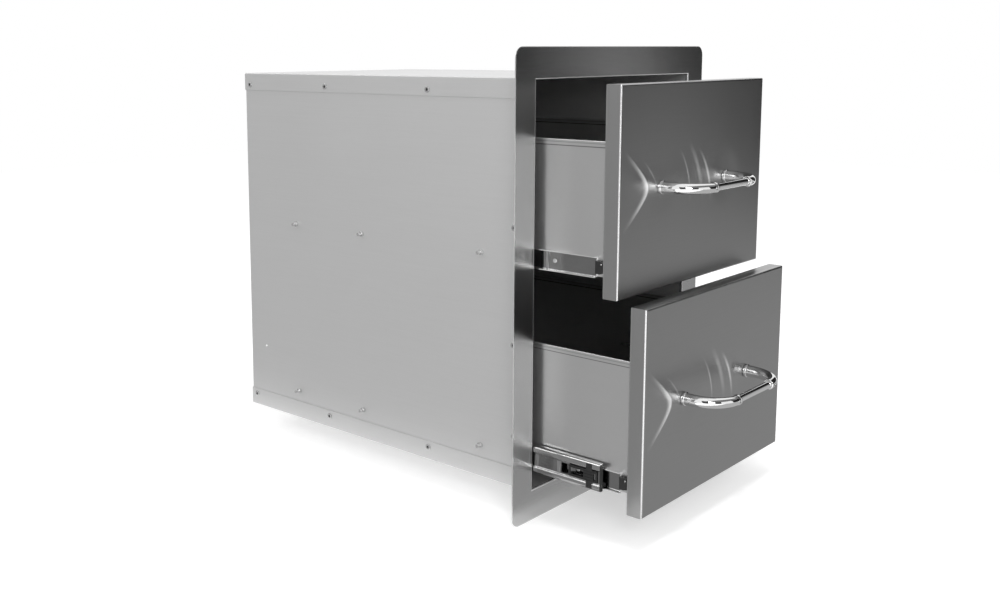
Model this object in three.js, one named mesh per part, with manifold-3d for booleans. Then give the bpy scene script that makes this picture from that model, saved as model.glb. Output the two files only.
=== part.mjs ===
// Outdoor kitchen drawer unit: a sheet-steel box behind a face flange, and two
// drawers on telescopic ball slides. Millimetres, +Z up. The drawers open along -Y.
// The origin is on the flange's back face, in the middle of its bottom strip.
import * as THREE from 'three';
import { mergeVertices } from 'three/addons/utils/BufferGeometryUtils.js';
import Module from 'manifold-3d';

const wasm = await Module();
wasm.setup();

// Face flange
const flangeWidth = 457.2;
const flangeHeight = 609.6;
const flangeOverhang = 38.1;
const flangeSheet = 1.2;
const flangeCornerRadius = 14;
const lipDepth = 2.8;
const beadHeight = 0.05;
const beadPastBox = 0.1;

// Box behind the flange
const boxDepth = 561;
const boxSheet = 1;
const capEdge = 25.4;
const backEdge = 15;

// Drawer fronts, two in the opening
const drawerCount = 2;
const frontSideGap = 4.7;
const frontGap = 4.2;
const frontThickness = 22;
const frontSheet = 1.2;
const frontReturn = 12;
const linerSheet = 1;
const linerInset = 3;
const linerHoleRadius = 8;

// Drawer trays
const trayDepth = 500;
const trayHeight = 166;
const traySheet = 1;
const trayHem = 9;
const trayTab = 14;
const trayBackTab = 12;

// Telescopic slides, one on each side of each tray
const slideWidth = 12.7;
const slideRise = 37;
const slideSetback = 25.7;
const outerHeight = 45;
const outerDepth = 11;
const outerLength = 500;
const outerSheet = 1.2;
const outerBall = 2.75;
const middleLength = 480;
const middleDepth = 10.4;
const middleSheet = 1;
const middleWebHalf = 8.5;
const middleWebRecess = 1.8;
const middleSlope = 1.5;
const middleCorner = 1.2;
const innerLength = 480;
const innerSheet = 1.2;
const innerSetback = 33;
const innerBall = 3.95;
const ballPlay = 0.15;
const ballsInRow = 6;
const ballPitch = 24;
const outerBallIn = 6.5;
const innerBallIn = 8.4;
const cageSheet = 0.6;
const cagePlay = 0.3;
const cageArmPastBall = 0.4;
const cageEnd = 15;
const cageStart = 135;

// End stop clipped into the front of each middle member
const stopLength = 46;
const stopCap = 3;
const stopCapDepth = 3.6;
const notchStart = 11;
const notchLength = 9;
const stopPlate = 1.5;
const stopPlay = 0.2;
const windowStart = 50;
const windowLength = 8;
const windowTop = 8;
const windowBottom = -2.5;

// Screws that hold the outer members to the box, placed along the member's length
const slideScrewShares = [0.117, 0.561, 0.843];
const slideScrewRadius = 2;
const slideScrewHead = 4.2;
const slideScrewHeadHeight = 2.8;

// Handles
const handleSpacing = 166;
const handleOffset = -6;
const handleReach = 52;
const elbowFootRadius = 7.8;
const elbowEndRadius = 6.2;
const elbowBend = 39;
const stubLength = 2;
const rodRadius = 4.7;
const rodPlay = 0.3;
const socketDepth = 7;
const footRingRadius = 8.8;
const footRingWidth = 4;
const endRingRadius = 6.9;
const endRingWidth = 3;
const ringEdge = 0.8;
const handleScrewRadius = 2.5;
const handleScrewHead = 4.6;
const handleScrewHeadHeight = 3.3;
const handleScrewBite = 14;

// Clearances
const seatGap = 0.1;
const holePlay = 0.3;
const cutOverrun = 1;
const pointGrid = 1e-4;

// How far each stage is pulled out in the modelled pose
const upperMiddleOut = 0;
const upperDrawerOut = 120;
const lowerMiddleOut = 127;
const lowerDrawerOut = 33;

// Worked out from the sizes above
const flangeBottom = -flangeOverhang / 2;
const flangeTop = flangeBottom + flangeHeight;
const boxBottom = flangeBottom + flangeOverhang;
const boxTop = flangeTop - flangeOverhang;
const boxHalf = flangeWidth / 2 - flangeOverhang;
const sideOuter = boxHalf - boxSheet - seatGap;
const sideInner = sideOuter - boxSheet;
const innerHeightSpan = [boxBottom + boxSheet + seatGap, boxTop - boxSheet - seatGap];
const openingHalf = sideInner - seatGap - flangeSheet;
const openingBottom = boxBottom + boxSheet + seatGap + flangeSheet;
const openingTop = boxTop - boxSheet - seatGap - flangeSheet;
const frontHalf = openingHalf - frontSideGap;
const frontHeight = (openingTop - openingBottom - (drawerCount + 1) * frontGap) / drawerCount;
const linerBack = frontThickness + seatGap + linerSheet;
const trayFront = linerBack + seatGap;
const slideFace = sideInner - seatGap;
const trayHalf = slideFace - slideWidth - seatGap;
const middleHeight = outerHeight - 2 * (outerSheet + outerBall + 2 * ballPlay);
const innerHeight = middleHeight - 2 * (middleSheet + innerBall + 2 * ballPlay);
const outerBallOut = outerHeight / 2 - outerSheet - ballPlay - outerBall / 2;
const innerBallOut = innerHeight / 2 + ballPlay + innerBall / 2;
const outerCageIn = outerSheet + cagePlay;
const middleRailIn = outerCageIn + cageSheet + cagePlay;
const middleWebIn = middleRailIn + middleWebRecess;
const innerCageIn = middleWebIn + middleSheet + cagePlay;
const innerTipIn = innerCageIn + cageSheet + cagePlay;
const trayUnderside = slideRise - innerHeight / 2;
const outerFront = slideSetback - flangeSheet;
const slideScrewPlaces = slideScrewShares.map((share) => outerFront + share * outerLength);
const cageLength = (ballsInRow - 1) * ballPitch + 2 * cageEnd;

// Facets of round shapes
const cornerFacets = 8;
const screwFacets = 10;
const ballFacets = 6;
const ballRings = 4;
const handleFacets = 16;
const bendSteps = 14;

const flangeSteel = new THREE.MeshStandardMaterial({ color: 0x7d7f82, metalness: 1, roughness: 0.28 });
const frontSteel = new THREE.MeshStandardMaterial({ color: 0x8a8c8e, metalness: 1, roughness: 0.32 });
const boxSteel = new THREE.MeshStandardMaterial({ color: 0xb4b5b6, metalness: 0.9, roughness: 0.5 });
const traySteel = new THREE.MeshStandardMaterial({ color: 0xacadae, metalness: 0.9, roughness: 0.45 });
const zincSteel = new THREE.MeshStandardMaterial({ color: 0xc2c4c6, metalness: 1, roughness: 0.2 });
const chrome = new THREE.MeshStandardMaterial({ color: 0xe8e9ea, metalness: 1, roughness: 0.06 });
const blackPlastic = new THREE.MeshStandardMaterial({ color: 0x1c1c1d, metalness: 0, roughness: 0.5 });
const screwSteel = new THREE.MeshStandardMaterial({ color: 0xd0d1d2, metalness: 1, roughness: 0.25 });

// Turns a closed geometry into a solid that can be cut and joined. Its points are set
// on a fine grid, so that faces meant to be level with each other are.
function solidOf(geometry) {
  const bare = geometry.clone();
  bare.deleteAttribute('normal');
  bare.deleteAttribute('uv');
  const points = bare.attributes.position;
  points.array.forEach((value, index) => {
    points.array[index] = Math.round(value / pointGrid) * pointGrid;
  });
  const merged = mergeVertices(bare);
  return new wasm.Manifold(new wasm.Mesh({
    numProp: 3,
    vertProperties: new Float32Array(merged.attributes.position.array),
    triVerts: new Uint32Array(merged.index.array),
  }));
}

function geometryOf(solid) {
  const mesh = solid.getMesh();
  const geometry = new THREE.BufferGeometry();
  geometry.setAttribute('position', new THREE.BufferAttribute(new Float32Array(mesh.vertProperties), 3));
  geometry.setIndex(new THREE.BufferAttribute(new Uint32Array(mesh.triVerts), 1));
  geometry.computeVertexNormals();
  return geometry;
}

function joined(solids) {
  return solids.reduce((whole, piece) => whole.add(piece));
}

// A block between two limits on each axis, given in either order.
function block(x, y, z) {
  const size = [x, y, z].map((span) => Math.abs(span[1] - span[0]));
  const middle = [x, y, z].map((span) => (span[0] + span[1]) / 2);
  return solidOf(new THREE.BoxGeometry(...size).translate(...middle));
}

// An outline drawn in X and Z, and carried along Y from the front to the back.
function alongDepth(shape, front, back) {
  const settings = { depth: back - front, bevelEnabled: false, curveSegments: cornerFacets };
  const geometry = new THREE.ExtrudeGeometry(shape, settings);
  return solidOf(geometry.rotateX(Math.PI / 2).translate(0, back, 0));
}

// A round rod along X, from one X to the other.
function roundAlongX(radius, from, to, y, z, facets) {
  const geometry = new THREE.CylinderGeometry(radius, radius, Math.abs(to - from), facets);
  return solidOf(geometry.rotateZ(Math.PI / 2).translate((from + to) / 2, y, z));
}

// A round rod along Y, from one Y to the other.
function roundAlongY(radius, from, to, x, z, facets) {
  const geometry = new THREE.CylinderGeometry(radius, radius, Math.abs(to - from), facets);
  return solidOf(geometry.translate(x, (from + to) / 2, z));
}

function polygon(points) {
  return new THREE.Shape(points.map(([x, y]) => new THREE.Vector2(x, y)));
}

function rectangle(half, bottom, top) {
  return polygon([[-half, bottom], [half, bottom], [half, top], [-half, top]]);
}

function addNode(group, name, solid, material, place = [0, 0, 0]) {
  const mesh = new THREE.Mesh(geometryOf(solid), material);
  mesh.name = name;
  mesh.position.set(...place);
  group.add(mesh);
}

// The flange sheet with its opening, a lip turned back round the opening, and a low
// weld bead behind it along the box's front edge, which bounds the face that bears
// on the island.
function faceFrame() {
  const half = flangeWidth / 2;
  const radius = flangeCornerRadius;
  const outline = new THREE.Shape();
  outline.moveTo(-half + radius, flangeBottom);
  outline.absarc(half - radius, flangeBottom + radius, radius, -Math.PI / 2, 0, false);
  outline.absarc(half - radius, flangeTop - radius, radius, 0, Math.PI / 2, false);
  outline.absarc(-half + radius, flangeTop - radius, radius, Math.PI / 2, Math.PI, false);
  outline.absarc(-half + radius, flangeBottom + radius, radius, Math.PI, 1.5 * Math.PI, false);
  const allRound = [half + cutOverrun, flangeBottom - cutOverrun, flangeTop + cutOverrun];
  const pastBead = rectangle(...allRound);
  pastBead.holes.push(rectangle(boxHalf + beadPastBox, boxBottom - beadPastBox, boxTop + beadPastBox));
  const pastLip = rectangle(...allRound);
  pastLip.holes.push(rectangle(
    openingHalf + flangeSheet, openingBottom - flangeSheet, openingTop + flangeSheet));
  const opening = block([-openingHalf, openingHalf],
    [-flangeSheet - cutOverrun, lipDepth + cutOverrun], [openingBottom, openingTop]);
  return alongDepth(outline, -flangeSheet, lipDepth)
    .subtract(alongDepth(pastBead, 0, lipDepth + cutOverrun))
    .subtract(alongDepth(pastLip, beadHeight, lipDepth + cutOverrun))
    .subtract(opening);
}

// The top pan, or the bottom one turned over: a sheet with its sides and back turned.
function capPanel(face, inward) {
  const edge = face + inward * (boxSheet + capEdge);
  const hollow = block([boxSheet - boxHalf, boxHalf - boxSheet],
    [seatGap - cutOverrun, boxDepth - boxSheet],
    [face + inward * boxSheet, edge + inward * cutOverrun]);
  return block([-boxHalf, boxHalf], [seatGap, boxDepth], [face, edge]).subtract(hollow);
}

function sidePanel(side) {
  const back = boxDepth - boxSheet - seatGap;
  let panel = block([side * sideInner, side * sideOuter], [seatGap, back], innerHeightSpan);
  for (const drawer of drawers) {
    for (const place of slideScrewPlaces) {
      panel = panel.subtract(roundAlongX(slideScrewRadius + holePlay,
        side * (sideInner - cutOverrun), side * (sideOuter + cutOverrun),
        place, drawer.bottom + slideRise, screwFacets));
    }
  }
  return panel;
}

// The back sheet, its two sides turned forward.
function backPanel() {
  const half = sideInner - seatGap;
  const back = boxDepth - boxSheet - seatGap;
  const front = back - boxSheet - backEdge;
  const [bottom, top] = innerHeightSpan;
  const hollow = block([boxSheet - half, half - boxSheet], [front - cutOverrun, back - boxSheet],
    [bottom - cutOverrun, top + cutOverrun]);
  return block([-half, half], [front, back], innerHeightSpan).subtract(hollow);
}

// Points of a slide section, measured inward from the slide's mounting face and up
// from its centre line, placed on one side of the box.
function slideSection(side, upperHalf) {
  const lowerHalf = upperHalf.map(([inward, up]) => [inward, -up]).reverse();
  const points = [...upperHalf, ...lowerHalf];
  return polygon(points.map(([inward, up]) => [side * (slideFace - inward), up]));
}

function outerMember(side) {
  const half = outerHeight / 2;
  const section = slideSection(side, [
    [outerSheet, half - outerSheet],
    [outerDepth, half - outerSheet],
    [outerDepth, half],
    [0, half],
  ]);
  let member = alongDepth(section, outerFront, outerFront + outerLength);
  for (const place of slideScrewPlaces) {
    const from = side * (slideFace + cutOverrun);
    const to = side * (slideFace - outerSheet - cutOverrun);
    member = member.subtract(roundAlongX(slideScrewRadius + holePlay, from, to, place, 0, screwFacets));
  }
  return member;
}

// The middle member's sheet steps out from its web to a rail at the top and bottom,
// then turns inward over the inner row of balls. Its front end is at Y = 0.
function middleMember(side) {
  const half = middleHeight / 2;
  const inside = half - middleSheet;
  const railInside = middleRailIn + middleSheet;
  const section = slideSection(side, [
    [middleWebIn + middleSheet, middleWebHalf],
    [railInside, middleWebHalf + middleSlope],
    [railInside, inside - middleCorner / 2],
    [railInside + middleCorner / 2, inside],
    [middleDepth, inside],
    [middleDepth, half],
    [middleRailIn + middleCorner, half],
    [middleRailIn, half - middleCorner],
    [middleRailIn, middleWebHalf + middleSlope],
    [middleWebIn, middleWebHalf],
  ].reverse());
  const x = (inward) => side * (slideFace - inward);
  const notch = [notchStart, notchStart + notchLength];
  const notchX = [x(middleRailIn - cutOverrun), x(middleRailIn + stopPlate + stopPlay)];
  const notchTop = inside - middleCorner;
  const window = block(
    [x(middleWebIn - cutOverrun), x(middleWebIn + middleSheet + cutOverrun)],
    [windowStart, windowStart + windowLength], [windowBottom, windowTop]);
  return alongDepth(section, 0, middleLength)
    .subtract(block(notchX, notch, [middleWebHalf, notchTop]))
    .subtract(block(notchX, notch, [-notchTop, -middleWebHalf]))
    .subtract(window);
}

// A cap over the member's front end, on a plate between its rails. Bumpers on the plate
// stand in the rails' notches.
function endStop(side) {
  const x = (inward) => side * (slideFace - inward);
  const plateFace = middleRailIn + stopPlate;
  const plateHalf = middleWebHalf - ballPlay;
  const capHalf = middleHeight / 2 - middleSheet - middleCorner - ballPlay;
  const notchEnd = notchStart + notchLength;
  const stop = block([x(middleRailIn), x(middleRailIn + stopCapDepth)], [-stopCap, stopLength],
    [-capHalf, capHalf]);
  const aboveCap = capHalf + cutOverrun;
  const throughStop = [x(middleRailIn - cutOverrun), x(middleRailIn + stopCapDepth + cutOverrun)];
  const overPlate = block([x(plateFace), x(middleRailIn + stopCapDepth + cutOverrun)],
    [-seatGap, stopLength + cutOverrun], [-aboveCap, aboveCap]);
  const beside = [[plateHalf, aboveCap], [-aboveCap, -plateHalf]];
  return beside.reduce((left, span) => left
    .subtract(block(throughStop, [-seatGap, notchStart + ballPlay], span))
    .subtract(block(throughStop, [notchEnd - ballPlay, stopLength + cutOverrun], span)),
  stop.subtract(overPlate));
}

function innerMember(side) {
  const half = innerHeight / 2;
  const section = slideSection(side, [
    [slideWidth - innerSheet, half - innerSheet],
    [innerTipIn, half - innerSheet],
    [innerTipIn, half],
    [slideWidth, half],
  ]);
  return alongDepth(section, 0, innerLength);
}

// A strip bent to a U that holds a row of balls above and below. It starts at Y = 0.
function ballCage(side, webIn, ballIn, ballOut, ballDiameter) {
  const armEnd = ballIn + ballDiameter / 2 + cageArmPastBall;
  const section = slideSection(side, [
    [webIn + cageSheet, ballOut - cageSheet / 2],
    [armEnd, ballOut - cageSheet / 2],
    [armEnd, ballOut + cageSheet / 2],
    [webIn, ballOut + cageSheet / 2],
  ]);
  const pieces = [alongDepth(section, 0, cageLength)];
  for (const up of [ballOut, -ballOut]) {
    for (let ball = 0; ball < ballsInRow; ball += 1) {
      const sphere = new THREE.SphereGeometry(ballDiameter / 2, ballFacets, ballRings);
      const place = [side * (slideFace - ballIn), cageEnd + ball * ballPitch, up];
      pieces.push(solidOf(sphere.rotateX(Math.PI / 2).translate(...place)));
    }
  }
  return joined(pieces);
}

// A round screw or rod profile turned about its own axis. Points are radius, then length.
function turned(profile, facets) {
  return new THREE.LatheGeometry(profile.map(([r, l]) => new THREE.Vector2(r, l)), facets);
}

// A pan-head screw through the side panel into the outer member, head outside.
function slideScrew(side) {
  const underHead = seatGap;
  const shankEnd = -(sideOuter - slideFace + outerSheet);
  const geometry = turned([
    [0, shankEnd],
    [slideScrewRadius, shankEnd],
    [slideScrewRadius, underHead],
    [slideScrewHead, underHead],
    [slideScrewHead, underHead + 0.35 * slideScrewHeadHeight],
    [0.82 * slideScrewHead, underHead + 0.75 * slideScrewHeadHeight],
    [0.5 * slideScrewHead, underHead + 0.95 * slideScrewHeadHeight],
    [0, underHead + slideScrewHeadHeight],
  ], screwFacets);
  return solidOf(geometry.rotateZ(-side * Math.PI / 2));
}

// The drawer front's outer skin, its four edges turned back and then inward.
function frontPanel() {
  const inner = frontHalf - frontSheet;
  const mouth = frontHalf - frontReturn;
  const deep = frontThickness + cutOverrun;
  let panel = block([-frontHalf, frontHalf], [0, frontThickness], [0, frontHeight])
    .subtract(block([-inner, inner], [frontSheet, frontThickness - frontSheet],
      [frontSheet, frontHeight - frontSheet]))
    .subtract(block([-mouth, mouth], [frontThickness / 2, deep],
      [frontReturn, frontHeight - frontReturn]));
  for (const x of handleFeet) {
    panel = panel.subtract(roundAlongY(handleScrewRadius + holePlay,
      -cutOverrun, frontSheet + cutOverrun, x, frontHeight / 2, screwFacets));
  }
  return panel;
}

function frontLiner() {
  const half = frontHalf - linerInset;
  let liner = block([-half, half], [frontThickness + seatGap, linerBack],
    [linerInset, frontHeight - linerInset]);
  for (const x of handleFeet) {
    liner = liner.subtract(roundAlongY(linerHoleRadius, frontThickness - cutOverrun,
      linerBack + cutOverrun, x, frontHeight / 2, handleFacets));
  }
  return liner;
}

// The tray's floor and sides, folded from one sheet, with hemmed tops and front tabs.
function trayBody() {
  const hemOuter = trayHalf + traySheet;
  const inner = trayHalf - traySheet;
  const gapHalf = trayHalf - trayTab;
  const above = trayHeight + cutOverrun;
  const beyond = trayDepth + cutOverrun;
  const underHem = [-cutOverrun, trayHeight - trayHem];
  return block([-hemOuter, hemOuter], [0, trayDepth], [0, trayHeight])
    .subtract(block([-inner, inner], [traySheet, beyond], [traySheet, above]))
    .subtract(block([-gapHalf, gapHalf], [-cutOverrun, 2 * traySheet], [traySheet, above]))
    .subtract(block([trayHalf, hemOuter + cutOverrun], [-cutOverrun, beyond], underHem))
    .subtract(block([-trayHalf, -hemOuter - cutOverrun], [-cutOverrun, beyond], underHem));
}

// The tray's back sheet, with side tabs turned forward and a hemmed top.
function trayBack() {
  const half = trayHalf - traySheet - seatGap;
  const bottom = traySheet + seatGap;
  const tabFront = trayDepth - traySheet - trayBackTab;
  const hemBack = trayDepth + traySheet;
  return block([-half, half], [tabFront, hemBack], [bottom, trayHeight])
    .subtract(block([traySheet - half, half - traySheet], [tabFront - cutOverrun, trayDepth - traySheet],
      [bottom - cutOverrun, trayHeight + cutOverrun]))
    .subtract(block([-half - cutOverrun, half + cutOverrun], [trayDepth, hemBack + cutOverrun],
      [bottom - cutOverrun, trayHeight - trayHem]));
}

// A handle's elbow at a distance along its centre line: straight out from its foot,
// round a quarter bend, then straight towards the rod.
function elbowAt(along) {
  const straight = handleReach - elbowBend;
  const quarter = Math.PI / 2;
  const turn = THREE.MathUtils.clamp((along - straight) / elbowBend, 0, quarter);
  const past = Math.max(along - straight - elbowBend * quarter, 0);
  return {
    turn,
    inward: elbowBend * (1 - Math.cos(turn)) + past,
    out: Math.min(along, straight) + elbowBend * Math.sin(turn),
  };
}

// The elbow's tube is a unit cylinder bent along that line, thinner towards the rod. Its
// ends lie inside the two rings.
function elbowTube(side) {
  const length = handleReach - elbowBend + elbowBend * Math.PI / 2 + stubLength;
  const start = footRingWidth / 2;
  const stop = length - endRingWidth / 2;
  const tube = new THREE.CylinderGeometry(1, 1, 1, handleFacets, bendSteps);
  const points = tube.attributes.position;
  for (let index = 0; index < points.count; index += 1) {
    const share = points.getY(index) + 1 / 2;
    const radius = THREE.MathUtils.lerp(elbowFootRadius, elbowEndRadius, share);
    const { turn, inward, out } = elbowAt(THREE.MathUtils.lerp(start, stop, share));
    const aside = points.getX(index) * radius;
    const x = -side * inward - Math.cos(turn) * aside;
    const y = -out + side * Math.sin(turn) * aside;
    points.setXYZ(index, x, y, points.getZ(index) * radius);
  }
  return solidOf(tube);
}

// A ring with chamfered edges about the Y axis, from Y = 0 up.
function ring(radius, width) {
  return turned([
    [0, 0],
    [radius - ringEdge, 0],
    [radius, ringEdge],
    [radius, width - ringEdge],
    [radius - ringEdge, width],
    [0, width],
  ], handleFacets);
}

// An elbow with a ring at its foot and another where the rod goes in. The middle of its
// foot is at the origin.
function handleElbow(side) {
  const end = -side * (elbowBend + stubLength);
  const footRing = solidOf(ring(footRingRadius, footRingWidth).rotateX(Math.PI));
  const endRing = solidOf(ring(endRingRadius, endRingWidth)
    .rotateZ(-side * Math.PI / 2).translate(end, -handleReach, 0));
  const socket = roundAlongX(rodRadius + rodPlay, end + side * socketDepth,
    end - side * cutOverrun, -handleReach, 0, handleFacets);
  const tapped = roundAlongY(handleScrewRadius + holePlay, -handleScrewBite - holePlay,
    cutOverrun, 0, 0, screwFacets);
  return joined([elbowTube(side), footRing, endRing]).subtract(socket).subtract(tapped);
}

// The rod between two elbows, about its own middle.
function handleRod() {
  const end = handleSpacing / 2 - elbowBend - stubLength + socketDepth - rodPlay;
  return roundAlongX(rodRadius, -end, end, 0, 0, handleFacets);
}

// The screw behind each handle foot, its head inside the drawer front.
function handleScrew() {
  const head = frontSheet + seatGap;
  return solidOf(turned([
    [0, -handleScrewBite],
    [handleScrewRadius, -handleScrewBite],
    [handleScrewRadius, head],
    [handleScrewHead, head],
    [handleScrewHead, head + 0.6 * handleScrewHeadHeight],
    [0.7 * handleScrewHead, head + handleScrewHeadHeight],
    [0, head + handleScrewHeadHeight],
  ], screwFacets));
}

const handleFeet = [handleOffset - handleSpacing / 2, handleOffset + handleSpacing / 2];
const sides = { left: -1, right: 1 };
const drawers = [
  { name: 'lower', bottom: openingBottom + frontGap, middleOut: lowerMiddleOut, drawerOut: lowerDrawerOut },
  {
    name: 'upper',
    bottom: openingBottom + 2 * frontGap + frontHeight,
    middleOut: upperMiddleOut,
    drawerOut: upperDrawerOut,
  },
];

function addBox(unit) {
  addNode(unit, 'face_frame', faceFrame(), flangeSteel);
  addNode(unit, 'top_panel', capPanel(boxTop, -1), boxSteel);
  addNode(unit, 'bottom_panel', capPanel(boxBottom, 1), boxSteel);
  addNode(unit, 'left_side_panel', sidePanel(sides.left), boxSteel);
  addNode(unit, 'right_side_panel', sidePanel(sides.right), boxSteel);
  addNode(unit, 'back_panel', backPanel(), boxSteel);
}

function addSlides(unit, drawer) {
  const centre = drawer.bottom + slideRise;
  const middleFront = outerFront - drawer.middleOut;
  const outerCageFront = outerFront + cageStart - drawer.middleOut / 2;
  const innerCageFront = middleFront + cageStart - drawer.drawerOut / 2;
  for (const [sideName, side] of Object.entries(sides)) {
    const name = `${drawer.name}_${sideName}`;
    const outerCage = ballCage(side, outerCageIn, outerBallIn, outerBallOut, outerBall);
    const innerCage = ballCage(side, innerCageIn, innerBallIn, innerBallOut, innerBall);
    addNode(unit, `${name}_outer_member`, outerMember(side), zincSteel, [0, 0, centre]);
    addNode(unit, `${name}_outer_cage`, outerCage, zincSteel, [0, outerCageFront, centre]);
    addNode(unit, `${name}_middle_member`, middleMember(side), zincSteel, [0, middleFront, centre]);
    addNode(unit, `${name}_end_stop`, endStop(side), blackPlastic, [0, middleFront, centre]);
    addNode(unit, `${name}_inner_cage`, innerCage, zincSteel, [0, innerCageFront, centre]);
    slideScrewPlaces.forEach((place, index) => {
      const at = [side * sideOuter, place, centre];
      addNode(unit, `${name}_slide_screw_${index + 1}`, slideScrew(side), screwSteel, at);
    });
  }
}

function addDrawer(unit, drawer) {
  const group = new THREE.Group();
  group.position.set(0, -flangeSheet - drawer.middleOut - drawer.drawerOut, drawer.bottom);
  const name = drawer.name;
  const handleHeight = frontHeight / 2;
  addNode(group, `${name}_front_panel`, frontPanel(), frontSteel);
  addNode(group, `${name}_front_liner`, frontLiner(), traySteel);
  addNode(group, `${name}_tray`, trayBody(), traySteel, [0, trayFront, trayUnderside]);
  addNode(group, `${name}_tray_back`, trayBack(), traySteel, [0, trayFront, trayUnderside]);
  const rodPlace = [handleOffset, -seatGap - handleReach, handleHeight];
  addNode(group, `${name}_handle_rod`, handleRod(), chrome, rodPlace);
  for (const [sideName, side] of Object.entries(sides)) {
    const foot = handleOffset + side * handleSpacing / 2;
    const elbowPlace = [foot, -seatGap, handleHeight];
    const slidePlace = [0, innerSetback, slideRise];
    addNode(group, `${name}_${sideName}_inner_member`, innerMember(side), zincSteel, slidePlace);
    addNode(group, `${name}_handle_${sideName}_elbow`, handleElbow(side), chrome, elbowPlace);
    addNode(group, `${name}_handle_${sideName}_screw`, handleScrew(), screwSteel, [foot, 0, handleHeight]);
  }
  unit.add(group);
}

const unit = new THREE.Group();
addBox(unit);
for (const drawer of drawers) {
  addSlides(unit, drawer);
  addDrawer(unit, drawer);
}

export default unit;
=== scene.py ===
import math

import bmesh
import bpy
from mathutils import Matrix, Vector


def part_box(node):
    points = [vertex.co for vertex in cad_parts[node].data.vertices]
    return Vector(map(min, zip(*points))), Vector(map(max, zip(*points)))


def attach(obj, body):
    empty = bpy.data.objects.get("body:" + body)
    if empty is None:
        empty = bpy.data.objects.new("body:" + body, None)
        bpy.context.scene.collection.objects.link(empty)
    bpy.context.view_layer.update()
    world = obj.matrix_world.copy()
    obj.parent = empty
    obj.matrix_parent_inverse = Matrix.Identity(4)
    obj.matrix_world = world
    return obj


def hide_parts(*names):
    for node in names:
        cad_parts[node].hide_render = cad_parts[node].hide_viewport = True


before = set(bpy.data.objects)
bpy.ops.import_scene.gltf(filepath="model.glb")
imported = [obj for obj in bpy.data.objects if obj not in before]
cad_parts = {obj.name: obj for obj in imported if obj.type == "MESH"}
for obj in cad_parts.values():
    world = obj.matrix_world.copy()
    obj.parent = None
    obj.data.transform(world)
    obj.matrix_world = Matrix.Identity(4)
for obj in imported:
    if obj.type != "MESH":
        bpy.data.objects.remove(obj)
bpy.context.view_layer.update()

# Lengths are in millimetres and are multiplied by mm on their way into Blender
mm = 0.001


class NodeValue:
    # a node's output that takes part in plain arithmetic
    def __init__(self, sheet, socket):
        self.sheet = sheet
        self.socket = socket

    def __add__(self, other):
        return self.sheet.maths("ADD", self, other)

    def __radd__(self, other):
        return self.sheet.maths("ADD", other, self)

    def __sub__(self, other):
        return self.sheet.maths("SUBTRACT", self, other)

    def __rsub__(self, other):
        return self.sheet.maths("SUBTRACT", other, self)

    def __mul__(self, other):
        return self.sheet.maths("MULTIPLY", self, other)

    def __rmul__(self, other):
        return self.sheet.maths("MULTIPLY", other, self)

    def __abs__(self):
        return self.sheet.maths("ABSOLUTE", self)


class NodeSheet:
    # makes any node in a node tree: its settings first, then its values and links
    def __init__(self, tree):
        self.tree = tree
        tree.nodes.clear()

    def node(self, kind, settings=None, inputs=None, output=0):
        made = self.tree.nodes.new(kind)
        for key, value in (settings or {}).items():
            setattr(made, key, value)
        for key, value in (inputs or {}).items():
            if isinstance(value, NodeValue):
                self.tree.links.new(value.socket, made.inputs[key])
            else:
                made.inputs[key].default_value = value
        return NodeValue(self, made.outputs[output]) if len(made.outputs) else None

    def maths(self, operation, first, second=0.0):
        return self.node("ShaderNodeMath", {"operation": operation}, {0: first, 1: second})

    def mix(self, factor, under, over):
        # inputs 6 and 7 and output 2 are the node's colours
        return self.node("ShaderNodeMix", {"data_type": "RGBA"},
                         {"Factor": factor, 6: under, 7: over}, output=2)

    def axis(self, vector, letter):
        return self.node("ShaderNodeSeparateXYZ", inputs={"Vector": vector}, output=letter)

    def kept(self, vector, keep):
        # flattens the axes that keep leaves out
        return self.node("ShaderNodeMapping", inputs={"Vector": vector, "Scale": keep})

    def distance(self, first, second):
        return self.node("ShaderNodeVectorMath", {"operation": "DISTANCE"},
                         {0: first, 1: second}, output="Value")

    def fade(self, value, start, end, high=1.0, low=0.0, curve="SMOOTHSTEP"):
        # high up to start, low from end on
        return self.node("ShaderNodeMapRange", {"interpolation_type": curve},
                         {"Value": value, "From Min": start, "From Max": end,
                          "To Min": high, "To Max": low})

    def noise(self, vector, scale, detail, roughness=0.5):
        return self.node("ShaderNodeTexNoise", output="Fac", inputs={
            "Vector": vector, "Scale": scale, "Detail": detail, "Roughness": roughness})

    def finish(self, kind, shader):
        self.node(kind, inputs={"Surface": shader})


def grey(level):
    return (level, level, level, 1)


def newMaterial(name):
    material = bpy.data.materials.new(name)
    material.use_nodes = True
    return material, NodeSheet(material.node_tree)


# place in metres, angles in degrees, and the rest in pixels of the frame, but for the sensor in mm
camera = {
    "place": (-1.30776, -0.83067, 0.58641), "yaw": 47.405, "pitch": -7.825, "roll": -0.247,
    "focalPixels": 1119.43, "middlePixel": (416.69, 204.07), "frame": (1000, 600), "sensor": 36
}


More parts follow.
